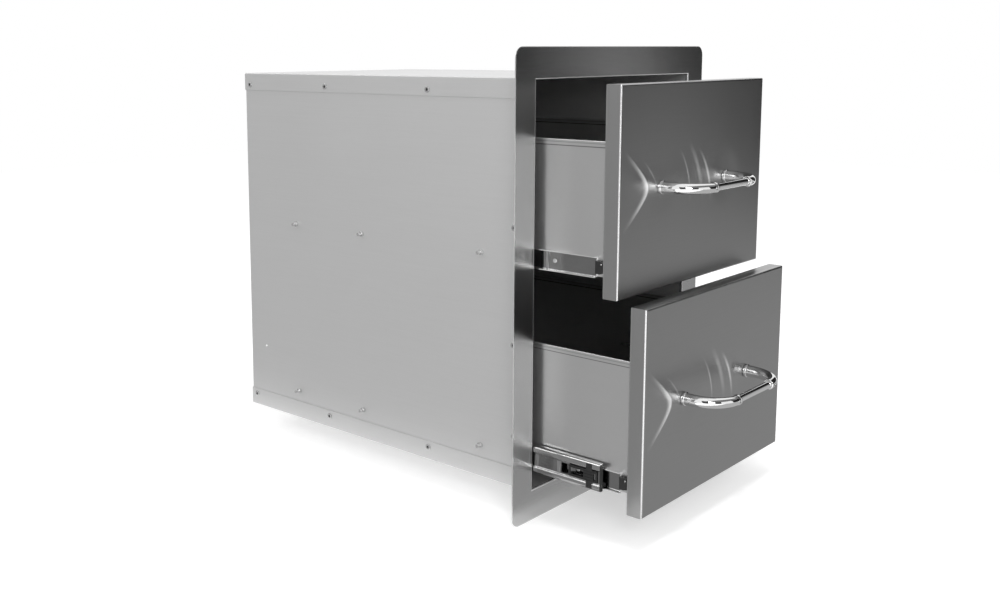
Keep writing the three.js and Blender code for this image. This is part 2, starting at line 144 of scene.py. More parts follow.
def makeCamera():
    yaw, pitch, roll = (math.radians(camera[key]) for key in ("yaw", "pitch", "roll"))
    ahead = Vector((math.sin(yaw) * math.cos(pitch), math.cos(yaw) * math.cos(pitch),
                    math.sin(pitch)))
    right = Vector((math.cos(yaw), -math.sin(yaw), 0))
    up = right.cross(ahead)
    across = math.cos(roll) * right + math.sin(roll) * up
    upright = math.cos(roll) * up - math.sin(roll) * right
    wide, high = camera["frame"]
    lens = bpy.data.cameras.new("camera")
    lens.sensor_width = camera["sensor"]
    lens.lens = camera["focalPixels"] * camera["sensor"] / wide
    lens.shift_x = (wide / 2 - camera["middlePixel"][0]) / wide
    lens.shift_y = (camera["middlePixel"][1] - high / 2) / wide
    holder = bpy.data.objects.new("camera", lens)
    bpy.context.scene.collection.objects.link(holder)
    turn = Matrix((across, upright, -ahead)).transposed()
    holder.matrix_world = Matrix.Translation(camera["place"]) @ turn.to_4x4()
    bpy.context.scene.camera = holder


# places and sizes in metres, but for the floor's gap in mm
studio = {"worldLight": 0.7, "white": 1.0, "floorColour": 0.8, "floorSize": 9, "floorLift": 0.43,
          "floorGap": 0.2}

softLights = [
    {"name": "keyLight", "place": (-2.3, -2.1, 1.5), "towards": (0, 0, 0.3), "size": (1.0, 1.4),
     "power": 34},
    {"name": "topLight", "place": (-0.2, -0.3, 2.8), "towards": (0, 0.1, 0.3), "size": (1.1, 0.8),
     "power": 24},
    {"name": "stripLight", "place": (-1.75, 1.8, 2.05), "towards": (0, 0, 0.3), "size": (3.0, 0.3),
     "power": 11},
]

# grey cards round the object, seen by the metal alone: the tone at the middle and at the ends,
# and where one turns into the other, in shares of the card's width
cards = [
    {"name": "standingCard", "place": (2.487, -1.572, 1.95), "towards": (0, 0, 1.95),
     "size": (4.6, 4.1), "tones": (0.31, 0.02), "turn": (0.008, 0.048)},
    {"name": "lowCard", "place": (2.287, -1.535, 0.24), "towards": (0, 0, 0.24),
     "size": (0.4, 0.52), "tones": (0.45, 0.45)},
    {"name": "lyingCard", "place": (1.5, -1.43, -0.0185), "towards": (1.5, -1.43, 1.0),
     "size": (3.5, 2.8), "tones": (0.5, 0.5)},
    {"name": "overheadCard", "place": (0.2, -1.0, 1.5), "towards": (0.2, -1.0, 0.0),
     "size": (3.4, 2.3), "tones": (0.2, 0.2)},
    {"name": "overheadWhite", "place": (0.0, -0.25, 1.49), "towards": (0.0, -0.25, 0.0),
     "size": (3.0, 0.95), "tones": (1.0, 1.0)},
    {"name": "sideCard", "place": (-1.7, 1.75, 0.8), "towards": (0, 0, 0.8),
     "size": (3.4, 1.9), "tones": (0.46, 0.54), "turn": (0.0, 0.5)},
    {"name": "lyingSideCard", "place": (-1.45, 1.2, 0.0), "towards": (-1.45, 1.2, 1.0),
     "size": (2.4, 2.6), "tones": (0.5, 0.5)},
    {"name": "sideTopCard", "place": (-1.72, 1.77, 1.84), "towards": (0, 0, 0.8),
     "size": (3.4, 0.16), "tones": (0.08, 0.08)},
    {"name": "behindCard", "place": (-2.75, -2.5, 1.9), "towards": (0, 0, 0.8),
     "size": (4.2, 3.4), "tones": (0.07, 0.07)},
]
evenTurn = (0.1, 1.0)  # for cards of one tone


def seenDirectly(sheet):
    # 1 for what the camera, a mirror or glass shows
    kinds = ("Is Camera Ray", "Is Glossy Ray", "Is Transmission Ray")
    toCamera, toMirror, toGlass = (sheet.node("ShaderNodeLightPath", output=kind)
                                   for kind in kinds)
    return toCamera + toMirror + toGlass


def makeWorld():
    world = bpy.data.worlds.new("studio")
    bpy.context.scene.world = world
    world.use_nodes = True
    sheet = NodeSheet(world.node_tree)
    backdrop = sheet.mix(seenDirectly(sheet), grey(studio["worldLight"]), grey(studio["white"]))
    sheet.finish("ShaderNodeOutputWorld",
                 sheet.node("ShaderNodeBackground", inputs={"Color": backdrop, "Strength": 1.0}))


def facing(thing, axis):
    # the place and turn that point an axis of a card or lamp at what it faces
    way = Vector(thing["towards"]) - Vector(thing["place"])
    return Matrix.Translation(thing["place"]) @ way.to_track_quat(axis, "Y").to_matrix().to_4x4()


def makeLights():
    for light in softLights:
        lamp = bpy.data.lights.new(light["name"], "AREA")
        lamp.shape = "RECTANGLE"
        lamp.size, lamp.size_y = light["size"]
        lamp.energy = light["power"]
        holder = bpy.data.objects.new(light["name"], lamp)
        bpy.context.scene.collection.objects.link(holder)
        holder.matrix_world = facing(light, "-Z")
        holder.visible_camera = False


def makeCards():
    for card in cards:
        clearPick()
        bpy.ops.mesh.primitive_plane_add(size=1)
        board = bpy.context.object
        board.name = card["name"]
        board.matrix_world = facing(card, "Z") @ Matrix.Diagonal((*card["size"], 1, 1))
        material, sheet = newMaterial(card["name"])
        across = abs(sheet.axis(sheet.node("ShaderNodeTexCoord", output="Object"), "X"))
        middle, ends = card["tones"]
        tone = sheet.mix(sheet.fade(across, *card.get("turn", evenTurn)), grey(ends), grey(middle))
        sheet.finish("ShaderNodeOutputMaterial",
                     sheet.node("ShaderNodeEmission", inputs={"Color": tone, "Strength": 1.0}))
        board.data.materials.append(material)
        board.visible_camera = board.visible_diffuse = board.visible_shadow = False


def makeFloor():
    clearPick()
    level = (flange["bottom"] - studio["floorGap"]) * mm
    bpy.ops.mesh.primitive_plane_add(size=studio["floorSize"], location=(0, 0, level))
    floor = bpy.context.object
    floor.name = "floor"
    settle(floor)
    material, sheet = newMaterial("floorPaper")
    lift = sheet.mix(seenDirectly(sheet) * studio["floorLift"], grey(0), grey(1))
    glow = sheet.node("ShaderNodeEmission", inputs={"Color": lift, "Strength": 1.0})
    matt = sheet.node("ShaderNodeBsdfDiffuse", inputs={"Color": grey(studio["floorColour"])})
    sheet.finish("ShaderNodeOutputMaterial",
                 sheet.node("ShaderNodeAddShader", inputs={0: matt, 1: glow}))
    floor.data.materials.append(material)


def clearPick():
    if bpy.context.mode != "OBJECT":
        bpy.ops.object.mode_set(mode="OBJECT")
    bpy.ops.object.select_all(action="DESELECT")


def choose(piece):
    clearPick()
    piece.select_set(True)
    bpy.context.view_layer.objects.active = piece


def settle(piece):
    choose(piece)
    bpy.ops.object.transform_apply(location=True, rotation=True, scale=True)


def both(half):
    # the span of what is as wide on either side of the middle
    return (-half, half)


def addBlock(name, x, y, z):
    clearPick()
    spans = (x, y, z)
    bpy.ops.mesh.primitive_cube_add(size=1, location=[sum(span) / 2 * mm for span in spans])
    block = bpy.context.object
    block.name = name
    block.scale = [abs(span[1] - span[0]) * mm for span in spans]
    settle(block)
    return block


def addRound(name, radius, start, end, facets=32):
    # a round bar from one point to the other
    clearPick()
    start, end = Vector(start) * mm, Vector(end) * mm
    turn = (end - start).to_track_quat("Z", "Y").to_euler()
    bpy.ops.mesh.primitive_cylinder_add(vertices=facets, radius=radius * mm,
                                        depth=(end - start).length, location=(start + end) / 2,
                                        rotation=turn)
    bar = bpy.context.object
    bar.name = name
    settle(bar)
    return bar


def editAll(piece, kind, action):
    if bpy.context.mode != "EDIT_MESH":
        choose(piece)
        bpy.ops.object.mode_set(mode="EDIT")
    bpy.ops.mesh.select_mode(type=kind)
    bpy.ops.mesh.select_all(action=action)


def pick(piece, kind, wanted):
    # selects in edit mode by each item's middle in mm and its normal, or an edge's direction
    editAll(piece, kind, "DESELECT")
    shape = bmesh.from_edit_mesh(piece.data)
    for item in {"FACE": shape.faces, "EDGE": shape.edges, "VERT": shape.verts}[kind]:
        if kind == "FACE":
            at, way = item.calc_center_median(), item.normal
        elif kind == "EDGE":
            first, second = (point.co for point in item.verts)
            at = (first + second) / 2
            way = Vector([abs(part) for part in (second - first).normalized()])
        else:
            at, way = item.co, item.normal
        if wanted(at / mm, way):
            item.select_set(True)
    shape.select_flush_mode()
    bmesh.update_edit_mesh(piece.data)


def close():
    bpy.ops.object.mode_set(mode="OBJECT")


def near(value, wanted, within=0.05):
    return abs(value - wanted) < within


# how closely a normal or an edge follows an axis
roughly, nearly = 0.5, 0.9

# how far a cutter stands out of what it cuts, and a step too small to matter
past, hair = 1, 0.001


def everything(at, way):
    return True


def facesFront(at, way):
    return way.y < -nearly


def edgesAt(along="", **levels):
    # edges at the given levels, and along one axis where it is named
    listed = {axis: given if isinstance(given, tuple) else (given,)
              for axis, given in levels.items()}

    def wanted(at, way):
        if along and getattr(way, along) <= nearly:
            return False
        return all(any(near(getattr(at, axis), level) for level in given)
                   for axis, given in listed.items())

    return wanted


def extrude(x=0, y=0, z=0):
    bpy.ops.mesh.extrude_region_move(TRANSFORM_OT_translate={"value": (x * mm, y * mm, z * mm)})


def shift(x=0, y=0, z=0):
    bpy.ops.transform.translate(value=(x * mm, y * mm, z * mm))


def stretch(x=1, y=1, z=1, about=(0, 0, 0)):
    bpy.ops.transform.resize(value=(x, y, z), center_override=[part * mm for part in about])


def insetPicked(width):
    bpy.ops.mesh.inset(thickness=width * mm, use_boundary=True)


def removePicked(kind="FACE"):
    bpy.ops.mesh.delete(type=kind)


def addSheet(name, x, y, z, *openSides):
    # a box without the sides that are named by sign and axis
    def isOpen(at, way):
        return any(getattr(way, side[1]) * float(side[0] + "1") > roughly for side in openSides)

    sheet = addBlock(name, x, y, z)
    pick(sheet, "FACE", isOpen)
    removePicked()
    close()
    return sheet


def pullOut(piece, kind, wanted, *moves):
    pick(piece, kind, wanted)
    for move in moves:
        extrude(*move)
    close()


def hollow(piece, wanted, wall, x=0, y=0):
    # the picked end pushed in, or pulled out, inside a wall
    pick(piece, "FACE", wanted)
    insetPicked(wall)
    extrude(x, y)
    close()


# steps of a bend too small for the usual four
few = 3


def bend(piece, radius, wanted, steps=4):
    # rounds the picked fold lines of a sheet, or the edges of a solid piece
    pick(piece, "EDGE", wanted)
    bpy.ops.mesh.bevel(offset=radius * mm, segments=steps, profile=0.5, affect="EDGES",
                       clamp_overlap=False)
    close()


def cutAcross(piece, at, normal):
    # a new edge line all round the piece
    pick(piece, "FACE", everything)
    bpy.ops.mesh.bisect(plane_co=[part * mm for part in at], plane_no=normal)
    close()


def applyModifier(piece, kind, **settings):
    choose(piece)
    modifier = piece.modifiers.new(kind.lower(), kind)
    for key, value in settings.items():
        setattr(modifier, key, value)
    bpy.ops.object.modifier_apply(modifier=modifier.name)


def thicken(piece, sheet, side=-1):
    applyModifier(piece, "SOLIDIFY", thickness=sheet * mm, offset=side, use_even_offset=True,
                  use_quality_normals=True)


def soften(piece, width, steps=2, angle=40):
    applyModifier(piece, "BEVEL", width=width * mm, segments=steps, limit_method="ANGLE",
                  angle_limit=math.radians(angle), use_clamp_overlap=True)


def cutWith(piece, cutter, operation="DIFFERENCE"):
    applyModifier(piece, "BOOLEAN", object=cutter, operation=operation, solver="EXACT")
    bpy.data.objects.remove(cutter)


mergeWithin = 0.005


def tidyMesh(piece):
    choose(piece)
    bpy.ops.object.mode_set(mode="EDIT")
    bpy.ops.mesh.select_all(action="SELECT")
    bpy.ops.mesh.remove_doubles(threshold=mergeWithin * mm)
    bpy.ops.mesh.normals_make_consistent(inside=False)
    close()


def joinPieces(first, *others):
    choose(first)
    for piece in others:
        piece.select_set(True)
    bpy.ops.object.join()
    return first


def copyPiece(piece, name, move=(0, 0, 0), mirrored=False):
    choose(piece)
    bpy.ops.object.duplicate(linked=False)
    twin = bpy.context.object
    twin.name = name
    if mirrored:
        twin.scale.x = -1
    twin.location = [part * mm for part in move]
    settle(twin)
    if mirrored:
        tidyMesh(twin)
    return twin


# folds up to this many degrees are shaded smooth
smoothAngle, chromeAngle = 35, 50


def complete(piece, body, finish, *nodes):
    # shading, finish and the CAD nodes and body that the piece belongs to
    material, slot = finishes[finish]
    choose(piece)
    angle = chromeAngle if finish == "chrome" else smoothAngle
    bpy.ops.object.shade_smooth_by_angle(angle=math.radians(angle))
    applyModifier(piece, "WEIGHTED_NORMAL", mode="FACE_AREA", weight=50, keep_sharp=True)
    piece.data.materials.clear()
    piece.data.materials.append(material)
    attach(piece, body)
    if nodes:
        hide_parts(*nodes)


def foldMask(sheet, place, keep, corner, strength):
    # a painted highlight along an outer fold: a line along the axis that keep leaves out
    away = sheet.distance(sheet.kept(place, keep), [part * mm for part in corner])
    start, end = highlightReach["fold"]
    return sheet.fade(away, start * mm, end * mm, strength)


def rimMask(sheet, place, halfX, middleZ, halfZ, strength):
    # a painted highlight round the edges of an upright oblong
    across = abs(sheet.axis(place, "X")) - halfX * mm
    up = abs(sheet.axis(place, "Z") - middleZ * mm) - halfZ * mm
    start, end = highlightReach["rim"]
    return sheet.fade(abs(sheet.maths("MAXIMUM", across, up)), start * mm, end * mm, strength)


def streakMask(sheet, place, streak):
    # a painted highlight: part of a ring, brightest at one point and gone at its reach
    flat = sheet.kept(place, (1, 0, 1))
    off = abs(sheet.distance(flat, streak["centre"]) - streak["radius"] * mm)
    line = sheet.fade(off, 0.0, streak["halfWidth"] * mm, streak["strength"], curve="SMOOTHERSTEP")
    return line * sheet.fade(sheet.distance(flat, streak["brightest"]), 0.0, streak["reach"] * mm)


def hookMask(sheet, place, hook):
    # a painted highlight shaped as a curve with its point at the tip: sharp on one side and soft on
    # the other
    x, z = (sheet.axis(place, letter) - hook["tip"][axis] for letter, axis in (("X", 0), ("Z", 2)))
    blunt, steep = hook["blunt"] * mm, z * hook["slope"]
    off = x + (sheet.maths("SQRT", steep * steep + blunt * blunt) - blunt)
    soft = 1 - sheet.fade(off, -hook["inside"] * mm, 0.0)
    sharp = sheet.fade(off, 0.0, hook["outside"] * mm)
    away = sheet.fade(sheet.distance(place, hook["tip"]), 0.0, hook["reach"] * mm)
    return soft * sharp * away * hook["strength"]


def bandMask(sheet, place, axis, level, inside, outside, strength):
    # a band at one height or depth, or at one distance from the middle
    reading = sheet.axis(place, axis)
    if axis == "X":
        reading = abs(reading)
    return sheet.fade(abs(reading - level * mm), inside * mm, outside * mm, strength)


# a noise's mean, taken off so that it swings both ways, and how fine each noise is
noiseMean = 0.5
noiseDetail = {"grain": 3.0, "cloud": 3.0, "specks": 2.0}
grainRoughness = 0.65

# how far the painted highlight along a fold or a rim reaches: full up to the first, gone at the
# second
highlightReach = {"fold": (1.3, 2.15), "rim": (0.3, 1.2)}


def steelFinish(name, look):
    # rolled or brushed steel: long fine grain, faint clouds, and a little dirt in its gloss
    material, sheet = newMaterial(name)
    place = sheet.node("ShaderNodeTexCoord", output="Object")
    grain = sheet.noise(sheet.kept(place, look["grain"]), 1.0, noiseDetail["grain"],
                        grainRoughness) - noiseMean
    cloud = sheet.noise(place, look["cloudScale"], noiseDetail["cloud"]) - noiseMean
    fine = sheet.noise(place, look["specks"], noiseDetail["specks"]) - noiseMean
    dark, light = look["tones"]
    tone = grain * look["grainTone"] + cloud * look["cloudTone"] + fine * look["speckTone"]
    colour = sheet.mix(tone + noiseMean, grey(dark), grey(light))
    gloss = grain * look["grainGloss"] + cloud * look["cloudGloss"] + look["roughness"]
    metal = look["metallic"]
    # painted highlights: lighter lines along a sheet's folds, with a little less roughness there
    for fold in look.get("folds", ()):
        glint = foldMask(sheet, place, *fold)
        colour = sheet.mix(glint, colour, grey(look["rubbed"]))
        gloss = gloss + glint * look["paintedHighlightGloss"]
    # painted highlights along rims and the streaks of light from the handles, made less metallic so
    # that they stay bright
    paintedHighlightSpots = [rimMask(sheet, place, *rim) for rim in look.get("rims", ())]
    paintedHighlightSpots += [streakMask(sheet, place, streak) for streak in look.get("streaks", ())]
    paintedHighlightSpots += [hookMask(sheet, place, given) for given in look.get("hooks", ())]
    for glint in paintedHighlightSpots:
        colour = sheet.mix(glint, colour, grey(look["rubbed"]))
        metal = metal - glint * look["paintedHighlightMatt"]
    # painted shade and highlights in bands: along the trays' hems, on the slides' webs, folds and
    # front edges, and in the rivets' hollows
    for tint, *band in look.get("bands", ()):
        colour = sheet.mix(bandMask(sheet, place, *band), colour, grey(tint))
    relief = grain * look["grainRelief"] + cloud * look["wave"]
    for foot in look.get("feet", ()):
        start, end = (part * mm for part in look["dish"])
        away = sheet.distance(place, [part * mm for part in foot])
        relief = relief + sheet.fade(away, start, end, 0.0, look["dishDepth"], "SMOOTHERSTEP")
    bump = sheet.node("ShaderNodeBump", output="Normal",
                      inputs={"Height": relief, "Strength": 1.0, "Distance": mm})
    sheet.finish("ShaderNodeOutputMaterial", sheet.node("ShaderNodeBsdfPrincipled", inputs={
        "Base Color": colour, "Metallic": metal, "Roughness": gloss, "Normal": bump,
        "Specular IOR Level": look.get("shine", 0.5), "Anisotropic": look.get("brushed", 0.0),
        "Anisotropic Rotation": look.get("brushedAcross", 0.0)}))
    return material


# Each look: the darkest and lightest tone, then the size of its grain, clouds and specks, and
# how much each of them changes the tone, the gloss and the relief
brushedLook = {
    "metallic": 1.0, "grain": (14, 900, 900), "specks": 700.0, "grainTone": 0.7, "grainGloss": 0.08,
    "brushedAcross": 0.25
}

flangeLook = {
    **brushedLook, "tones": (0.42, 0.54), "roughness": 0.23, "cloudScale": 5.0, "cloudTone": 0.5,
    "speckTone": 0.15, "cloudGloss": 0.05, "grainRelief": 0.0025, "wave": 0.5, "brushed": 0.75,
    "rubbed": 0.88, "paintedHighlightMatt": 0.6
}

frontLook = {
    **brushedLook, "tones": (0.33, 0.41), "roughness": 0.3, "cloudScale": 6.0, "cloudTone": 0.4,
    "speckTone": 0.1, "cloudGloss": 0.06, "grainRelief": 0.003, "wave": 0.3, "brushed": 0.6,
    "dish": (6, 48), "dishDepth": 0.5, "rubbed": 0.86, "paintedHighlightGloss": -0.06, "paintedHighlightMatt": 0.8
}

boxLook = {
    "tones": (0.6, 0.69), "metallic": 0.74, "roughness": 0.48, "grain": (700, 10, 700),
    "cloudScale": 4.0, "specks": 900.0, "grainTone": 0.5, "cloudTone": 0.25, "speckTone": 0.2,
    "grainGloss": 0.06, "cloudGloss": 0.05, "grainRelief": 0.003, "wave": 0.12
}

trayLook = {
    "tones": (0.5, 0.62), "metallic": 0.92, "roughness": 0.29, "grain": (110, 4, 110),
    "cloudScale": 7.0, "specks": 160.0, "grainTone": 0.14, "cloudTone": 0.4, "speckTone": 0.1,
    "grainGloss": 0.02, "cloudGloss": 0.06, "grainRelief": 0.0, "wave": 0.35
}

# painted light: a lighter, less metallic copy of the tray's finish that brightens the liner, which
# otherwise mirrors the dark inside of the box
linerLook = {**trayLook, "tones": (0.62, 0.74), "metallic": 0.45, "roughness": 0.4}

zincLook = {
    "tones": (0.3, 0.42), "metallic": 1.0, "roughness": 0.13, "grain": (900, 30, 900),
    "cloudScale": 60.0, "specks": 1500.0, "grainTone": 0.4, "cloudTone": 0.8, "speckTone": 0.3,
    "grainGloss": 0.06, "cloudGloss": 0.12, "grainRelief": 0.002, "wave": 0.03
}

screwLook = {
    "tones": (0.55, 0.75), "metallic": 1.0, "roughness": 0.22, "grain": (400, 400, 400),
    "cloudScale": 300.0, "specks": 2000.0, "grainTone": 0.4, "cloudTone": 0.5, "speckTone": 0.3,
    "grainGloss": 0.06, "cloudGloss": 0.08, "grainRelief": 0.002, "wave": 0.0
}

# painted highlight: the small stud is a near-white, mostly matt copy of the screw finish, standing
# in for its glint
studGlintLook = {**screwLook, "tones": (0.9, 0.98), "metallic": 0.2}

ballLook = {
    **screwLook, "tones": (0.62, 0.74), "roughness": 0.1, "grain": (300, 300, 300),
    "cloudScale": 200.0, "specks": 1500.0, "grainTone": 0.3, "cloudTone": 0.3, "speckTone": 0.2,
    "grainGloss": 0.04, "cloudGloss": 0.04, "grainRelief": 0.0
}

chromeLook = {
    **ballLook, "tones": (0.76, 0.86), "roughness": 0.05, "grain": (120, 120, 120),
    "cloudScale": 40.0, "cloudTone": 0.4, "speckTone": 0.1, "grainGloss": 0.02
}

plasticLook = {
    **screwLook, "tones": (0.014, 0.035), "metallic": 0.0, "roughness": 0.3,
    "grain": (900, 900, 900), "cloudScale": 80.0, "specks": 2500.0, "cloudTone": 0.4,
    "speckTone": 0.4, "grainGloss": 0.1, "grainRelief": 0.008, "shine": 0.25
}

# how bright the painted highlight along each fold of a drawer front is, "back" being the left
# edge's rear fold
frontFoldHighlights = {"left": 0.74, "right": 0.3, "level": 0.22, "back": 0.25}

# how far out of the opening and in from the outline the flange's painted rim highlights lie, and
# how bright
flangeRimHighlights = {"opening": (0.7, 0.85), "outline": (0.2, 0.5)}

# painted highlights: curved streaks of light that the handles throw on the fronts, painted into the
# fronts' colour, placed from the front's middle
paintedHandleLight = [
    {"centre": (-201, -67), "radius": 124.3, "brightest": (-106, 14), "reach": 40,
     "strength": 0.3, "halfWidth": 2.0},
    {"centre": (-111, -24), "radius": 96.1, "brightest": (-21, 12), "reach": 44,
     "strength": 0.4, "halfWidth": 2.6},
    {"centre": (-124, -49), "radius": 144.4, "brightest": (5, 16), "reach": 50,
     "strength": 0.3, "halfWidth": 7.0},
    {"centre": (-56, -31), "radius": 95.3, "brightest": (32, 10), "reach": 44,
     "strength": 0.62, "halfWidth": 4.2},
]

# the brightest painted streak of the handles' light, beside the left foot
paintedHandleLightHook = {
    "tip": (-120, 1), "slope": 1.42, "blunt": 20, "inside": 12, "outside": 3.4, "reach": 76,
    "strength": 0.85
}

# A band is its tint, its level, how far it is full and where it is gone, and its strength.
# On a tray: a painted shadow under the rolled hem, a painted dark line where its sheet turns, and a
# painted highlight along its top
hemShadeAndHighlights = {
    "dirt": (0.08, -7.7, 0.2, 1.0, 0.75), "turn": (0.2, -3.4, 0.2, 0.9, 0.45),
    "top": (0.9, -0.4, 0.2, 1.0, 0.7)
}

# on a slide: painted shade on its web, by its distance from the middle, and painted highlights on
# its folds and front edge
middleShadeAndHighlights = {
    "web": (0.16, 184.1, 0.35, 0.65, 0.55), "folds": (17.6, -9.3), "foldHighlight": (1.0, 1.5, 0.8)
}
innerShadeAndHighlights = {
    "web": (0.12, 176.8, 0.9, 1.2, 0.52), "folds": (12.3, -12.3), "foldHighlight": (1.0, 1.5, 0.95),
    "frontEdgeHighlight": (1.2, 1.7, 0.95)
}
paintedFoldHighlight = 0.95

# painted shade: the dark bottom of a pop rivet's hollow, and a dark ring at its foot, on the pans
# and on the side panel
rivetHollowShade = [(0.02, "X", depth, 0.12, 0.25, 0.95) for depth in (190.62, 189.52)]


# painted shade on a member's web and painted highlights on its folds and front edge
def slideShadeAndHighlights(given):
    tint, *web = given["web"]
    bands = [(tint, "X", *web)]
    for drawer in drawers:
        for height in given["folds"]:
            bands.append((paintedFoldHighlight, "Z", drawer["slide"] + height, *given["foldHighlight"]))
        if "frontEdgeHighlight" in given:
            edge = drawer["front"] + slide["innerSetback"]
            bands.append((paintedFoldHighlight, "Y", edge, *given["frontEdgeHighlight"]))
    return bands


def frontLookOf(drawer):
    half, y = front["half"], drawer["front"]
    low, high = drawer["bottom"], drawer["bottom"] + front["height"]
    middle = (low + high) / 2
    feet = [(foot, y, middle) for foot in handle["feet"]]
    # painted highlights along the front's folds, brightest on its left edge
    folds = [((1, 1, 0), (-half, y, 0), frontFoldHighlights["left"]),
             ((1, 1, 0), (half, y, 0), frontFoldHighlights["right"]),
             ((0, 1, 1), (0, y, high), frontFoldHighlights["level"]),
             ((0, 1, 1), (0, y, low), frontFoldHighlights["level"]),
             ((1, 1, 0), (-half, y + front["thickness"], 0), frontFoldHighlights["back"])]

    def onFront(spot, depth):
        return (spot[0] * mm, depth * mm, (middle + spot[1]) * mm)

    # the handles' light, painted on the front as streaks
    streaks = [{**streak, **{key: onFront(streak[key], 0) for key in ("centre", "brightest")}}
               for streak in paintedHandleLight]
    hooks = [{**paintedHandleLightHook, "tip": onFront(paintedHandleLightHook["tip"], y)}]
    return {**frontLook, "feet": feet, "folds": folds, "streaks": streaks, "hooks": hooks}


def mixFinishes():
    f = flange
    middle = (f["top"] + f["bottom"]) / 2
    out, openingHighlight = flangeRimHighlights["opening"]
    back, outlineHighlight = flangeRimHighlights["outline"]
    openingHigh = (f["openingTop"] - f["openingBottom"]) / 2
    # painted highlights round the flange's opening and along its outline
    rims = [(f["openingHalf"] + out, middle, openingHigh + out, openingHighlight),
            (f["half"] - back, middle, middle - f["bottom"] - back, outlineHighlight)]
    # painted shade and highlights along each tray's hem
    hems = []
    for drawer in drawers:
        top = drawer["bottom"] + tray["rise"] + tray["height"]
        for tint, above, *band in hemShadeAndHighlights.values():
            hems.append((tint, "Z", top + above, *band))
    # each with its material's name, its look and its slot
    given = {
        "flange": ("flangeSteel", {**flangeLook, "rims": rims}, "flange_steel"),
        "box": ("boxSteel", boxLook, "box_steel"),
        "tray": ("traySteel", {**trayLook, "bands": hems}, "tray_steel"),
        "liner": ("linerSteel", linerLook, "tray_steel"),
        "slide": ("slideZinc", zincLook, "slide_steel"),
        "middle": ("middleZinc", {**zincLook, "bands": slideShadeAndHighlights(middleShadeAndHighlights)}, "slide_steel"),
        "inner": ("innerZinc", {**zincLook, "bands": slideShadeAndHighlights(innerShadeAndHighlights)}, "slide_steel"),
        "screw": ("screwSteel", screwLook, "screw_steel"),
        "stud": ("studSteel", studGlintLook, "screw_steel"),
        "rivet": ("rivetSteel", {**screwLook, "bands": rivetHollowShade}, "screw_steel"),
        "ball": ("ballSteel", ballLook, "ball_steel"),
        "chrome": ("handleChrome", chromeLook, "handle_chrome"),
        "plastic": ("blackPlastic", plasticLook, "black_plastic"),
    }
    for drawer in drawers:
        name = drawer["name"]
        given[name] = (name + "FrontSteel", frontLookOf(drawer), "front_steel")
    return {key: (steelFinish(name, look), slot) for key, (name, look, slot) in given.items()}


# the drawers as the photograph shows them, pulled out by different shares
drawers = [
    {"name": "lower", "front": -161.2, "bottom": 25.55, "slide": 62.55, "middleFront": -102.5},
    {"name": "upper", "front": -121.2, "bottom": 287.85, "slide": 324.85, "middleFront": 24.5},
]

# pieces are made on the left, and mirrored to the right
sides = (("left", False), ("right", True))

flange = {
    "half": 228.6, "bottom": -19.05, "top": 590.55, "front": -1.2, "lipBack": 2.8, "sheet": 1.2,
    "openingHalf": 187.1, "openingBottom": 21.35, "openingTop": 550.15, "corner": 14,
    "cornerSteps": 12, "fold": 1.4, "soft": 0.22, "over": 3, "outlineHalf": 20
}


def makeFlange():
    # a larger sheet with a lip turned back round its opening, cut to the flange's outline
    f = flange
    half, high = f["half"] + f["over"], (f["top"] - f["bottom"]) / 2 + f["over"]
    middle = (f["top"] + f["bottom"]) / 2
    sheet = addSheet("faceFrame", both(half), (f["front"], f["lipBack"]),
                     (middle - high, middle + high), "-x", "+x", "+y", "-z", "+z")
    pick(sheet, "FACE", everything)
    strip = half - f["openingHalf"]
    insetPicked(strip)
    stretch(z=(f["openingTop"] - f["openingBottom"]) / 2 / (high - strip),
            about=(0, f["front"], middle))
    extrude(y=f["lipBack"] - f["front"])
    removePicked("ONLY_FACE")
    close()
    lipHalf, lipHigh = f["openingHalf"] + f["over"], high - strip + f["over"]
    bend(sheet, f["fold"], lambda at, way: near(at.y, f["front"]) and abs(at.x) < lipHalf
         and abs(at.z - middle) < lipHigh and max(way.x, way.z) > nearly)
    thicken(sheet, f["sheet"])
    outline = addBlock("outline", both(f["half"]), both(f["outlineHalf"]),
                       (f["bottom"], f["top"]))
    bend(outline, f["corner"], edgesAt("y"), f["cornerSteps"])
    cutWith(sheet, outline, operation="INTERSECT")
    soften(sheet, f["soft"])
    complete(sheet, "cabinet", "flange", "face_frame")


cap = {"half": 190.5, "front": 0.1, "back": 561, "edge": 26.4, "sheet": 1, "fold": 1.7,
       "soft": 0.2, "top_panel": 552.45, "bottom_panel": 19.05}


def makeCap(node, name, inward):
    # the pan over the box's top or under its bottom, with its sides and back turned
    c = cap
    face = c[node]
    sheet = addSheet(name, both(c["half"]), (c["front"], c["back"]),
                     sorted((face, face + inward * c["edge"])), "-y", "-z" if inward < 0 else "+z")
    bend(sheet, c["fold"], lambda at, way: near(at.z, face)
         and (way.y > nearly or near(at.y, c["back"])))
    thicken(sheet, c["sheet"])
    soften(sheet, c["soft"])
    complete(sheet, "cabinet", "box", node)


backSheet = {
    "half": 188.3, "front": 543.9, "back": 559.9, "z": (20.15, 551.35), "sheet": 1, "fold": 1.5,
    "soft": 0.2
}


def makeBack():
    b = backSheet
    sheet = addSheet("backPanel", both(b["half"]), (b["front"], b["back"]), b["z"],
                     "-y", "-z", "+z")
    bend(sheet, b["fold"], edgesAt("z", y=b["back"]))
    thicken(sheet, b["sheet"])
    soften(sheet, b["soft"])
    complete(sheet, "cabinet", "box", "back_panel")


sideSheet = {
    "x": (-189.4, -188.4), "y": (0.1, 559.9), "z": (20.15, 551.35), "hole": 2.3, "holeFacets": 20,
    "soft": 0.2
}


